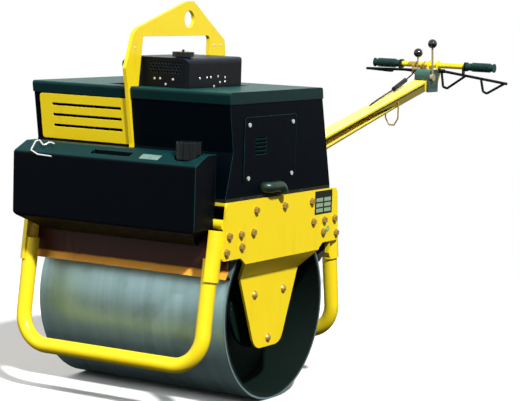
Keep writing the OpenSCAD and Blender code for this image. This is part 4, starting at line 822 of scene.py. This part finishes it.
def plateRim(settings, inset):
    halfWide = settings["width"] / 2 - inset
    halfHigh = settings["height"] / 2 - inset
    corner = max(settings["corner"] - inset, plateShape["leastCorner"])
    steps = plateShape["arcSteps"]
    rim = []
    for quarter, (sx, sy) in enumerate(((1, 1), (-1, 1), (-1, -1), (1, -1))):
        for i in range(steps):
            turn = math.radians(90 * (quarter + i / (steps - 1)))
            rim.append((sx * (halfWide - corner) + corner * math.cos(turn),
                        sy * (halfHigh - corner) + corner * math.sin(turn)))
    return rim


def addPlate(name, paint):
    settings, thick = plates[name], plates[name]["thick"]
    spot, out = surfaceOf(settings["on"]).find_nearest(Vector(settings["origin"]) * mm)[:2]
    across = Vector(settings["across"]).normalized()
    up = out.cross(across)
    levels = (
        (0, -plateShape["sunk"]),
        (0, thick * plateShape["chamferFrom"]),
        (plateShape["chamfer"], thick),
    )
    shape = bmesh.new()
    rings = [[shape.verts.new((spot / mm + across * u + up * v + out * lift) * mm)
              for u, v in plateRim(settings, inset)] for inset, lift in levels]
    count = len(rings[0])
    for lower, upper in zip(rings, rings[1:]):
        for i in range(count):
            j = (i + 1) % count
            shape.faces.new((lower[i], lower[j], upper[j], upper[i]))
    shape.faces.new(rings[-1])
    shape.faces.new(rings[0][::-1])
    mesh = bpy.data.meshes.new(name)
    shape.to_mesh(mesh)
    shape.free()
    mesh.materials.append(paint)
    addPiece(name, mesh, "frame")


paperLook = {
    "gloss": 0.3,
    "worn": {"size": 0.015, "detail": 5, "rough": 0.7},
    "wornRange": (0.45, 0.75),
    "wornShare": 0.6,
    "clean": (0.17, 0.27, 0.24),
    "dirty": (0.03, 0.07, 0.065),
    "rough": 0.4,
    "wornRough": 0.2,
    "skin": {"size": 4 * mm},
    "bump": (0.1, 0.1 * mm),
}
labelLook = {
    "gloss": 0.3,
    "columnRange": (4 * mm, 46 * mm),
    "rowHigh": 17 * mm,
    "rowRange": (0.16, 0.88),
    "rowSoft": 0.02,
    "firstRow": -34 * mm,
    "fieldRange": (-33 * mm, 17 * mm),
    "fade": {"size": 0.02, "detail": 4},
    "fadeRange": (0.4, 0.8),
    "fadeShare": 0.4,
    "ground": (0.004, 0.005, 0.005),
    "field": (0.30, 0.42, 0.26),
    "fieldFaded": (0.16, 0.24, 0.15),
    "mottle": {"size": 0.01},
    "mottleShare": 0.1,
    "rough": 0.4,
    "skin": {"size": 3 * mm},
    "bump": (0.1, 0.1 * mm),
}
stickerLook = {
    "gloss": 0.3,
    "ringRange": (5.6 * mm, 6.2 * mm),
    "ringLeast": 0.8,
    "speckle": {"size": 4 * mm},
    "speckleShare": 0.2,
    "middle": (0.30, 0.62, 0.20),
    "ring": (0.10, 0.34, 0.10),
    "mottle": {"size": 6 * mm},
    "mottleShare": 0.1,
    "rough": 0.35,
    "skin": {"size": 2 * mm},
    "bump": (0.1, 0.1 * mm),
}


def paperFinish(name, look):
    f = Finish(name, look["gloss"])
    worn = f.noise(**look["worn"]).step(*look["wornRange"])
    f.put("Base Color", f.mix(worn * look["wornShare"], look["clean"], look["dirty"]))
    f.put("Roughness", worn * look["wornRough"] + look["rough"])
    f.skin(look)
    return f.material


def fromMiddle(f, plateName):
    middle = plates[plateName]["origin"]
    return f.axis("Y") - middle[1] * mm, f.axis("Z") - middle[2] * mm


# Two columns of empty fields on black
def labelFinish(name, look):
    f = Finish(name, look["gloss"])
    y, z = fromMiddle(f, "side_label")
    row = f.maths("FRACT", (z - look["firstRow"]) / look["rowHigh"])
    inRow = row.within(*look["rowRange"], look["rowSoft"])
    field = abs(y).within(*look["columnRange"]) * inRow * z.within(*look["fieldRange"])
    fade = f.noise(**look["fade"]).step(*look["fadeRange"]) * look["fadeShare"]
    faded = f.mix(fade, look["field"], look["fieldFaded"])
    f.put("Base Color", f.mix(field, look["ground"], faded))
    f.dullness(look, look["rough"])
    f.skin(look)
    return f.material


def stickerFinish(name, look):
    f = Finish(name, look["gloss"])
    y, z = fromMiddle(f, "round_sticker")
    ring = (y * y + z * z).step(*(radius ** 2 for radius in look["ringRange"]))
    speckle = look["ringLeast"] + f.noise(**look["speckle"]) * look["speckleShare"]
    f.put("Base Color", f.mix(ring * speckle, look["middle"], look["ring"]))
    f.dullness(look, look["rough"])
    f.skin(look)
    return f.material


addPlate("tank_label", paperFinish("label_paper", paperLook))
addPlate("side_label", labelFinish("label_print", labelLook))
addPlate("round_sticker", stickerFinish("sticker_print", stickerLook))
print("details added")

# Studio: a sun with a soft edge, two broad fills, and a floor that fades to white

studio = {
    "white": (1, 1, 1),
    "worldLight": 0.15,
    "mirroredSky": 1.0,
    "floorHalf": 14.0,
    "floorSeen": (0.80, 0.80, 0.80),
    "floorBounced": (0.05, 0.05, 0.05),
    "floorMiddle": 0.3,
    "floorFade": (1.5, 2.6),
}
suns = {
    "key": {"towards": (0.58, -0.36, 0.73), "strength": 1.5, "angle": 4, "mirrored": True},
    "fill": {"towards": (-0.35, -0.60, 0.72), "strength": 0.52, "angle": 40, "mirrored": False},
    "rear": {"towards": (-0.35, 0.85, 0.38), "strength": 0.55, "angle": 50, "mirrored": False},
}


def addWorld(settings):
    world = bpy.data.worlds.new("world")
    world.use_nodes = True
    bpy.context.scene.world = world
    w = Work(world.node_tree)
    light = settings["worldLight"]
    seen = w.ray("Is Camera Ray") * (1 - light)
    mirrored = w.ray("Is Glossy Ray") * (settings["mirroredSky"] - light)
    background = w.tree.nodes["Background"]
    w.feed(background.inputs["Color"], settings["white"])
    w.feed(background.inputs["Strength"], seen + mirrored + light)


def addFloor(settings):
    half = settings["floorHalf"]
    corners = ((-half, -half, 0), (half, -half, 0), (half, half, 0), (-half, half, 0))
    mesh = bpy.data.meshes.new("floor")
    mesh.from_pydata(corners, [], [(0, 1, 2, 3)])
    floor = bpy.data.objects.new("floor", mesh)
    bpy.context.scene.collection.objects.link(floor)
    f = Finish("floor_paper", gloss=0.0)
    seen = f.ray("Is Camera Ray")
    f.put("Base Color", f.mix(seen, settings["floorBounced"], settings["floorSeen"]))
    f.put("Roughness", 1.0)
    x, y = f.axis("X"), f.axis("Y") - settings["floorMiddle"]
    far = f.maths("SQRT", x * x + y * y).step(*settings["floorFade"])
    paper = f.make("ShaderNodeEmission", {}, {"Color": settings["white"], "Strength": 1.0})
    lit = Flow(f, f.shader.outputs[0])
    blended = f.make("ShaderNodeMixShader", {}, {0: far * seen, 1: lit, 2: paper})
    f.feed(f.tree.nodes["Material Output"].inputs["Surface"], blended)
    mesh.materials.append(f.material)


def addSun(name, settings):
    data = bpy.data.lights.new(name, "SUN")
    data.energy = settings["strength"] * math.pi
    data.angle = math.radians(settings["angle"])
    light = bpy.data.objects.new(name, data)
    light.rotation_euler = Vector(settings["towards"]).to_track_quat("Z", "Y").to_euler()
    light.visible_glossy = settings["mirrored"]
    bpy.context.scene.collection.objects.link(light)


addWorld(studio)
addFloor(studio)
for sunName, sunSettings in suns.items():
    addSun(sunName, sunSettings)
bpy.context.scene.view_settings.view_transform = "Standard"
print("studio ready")
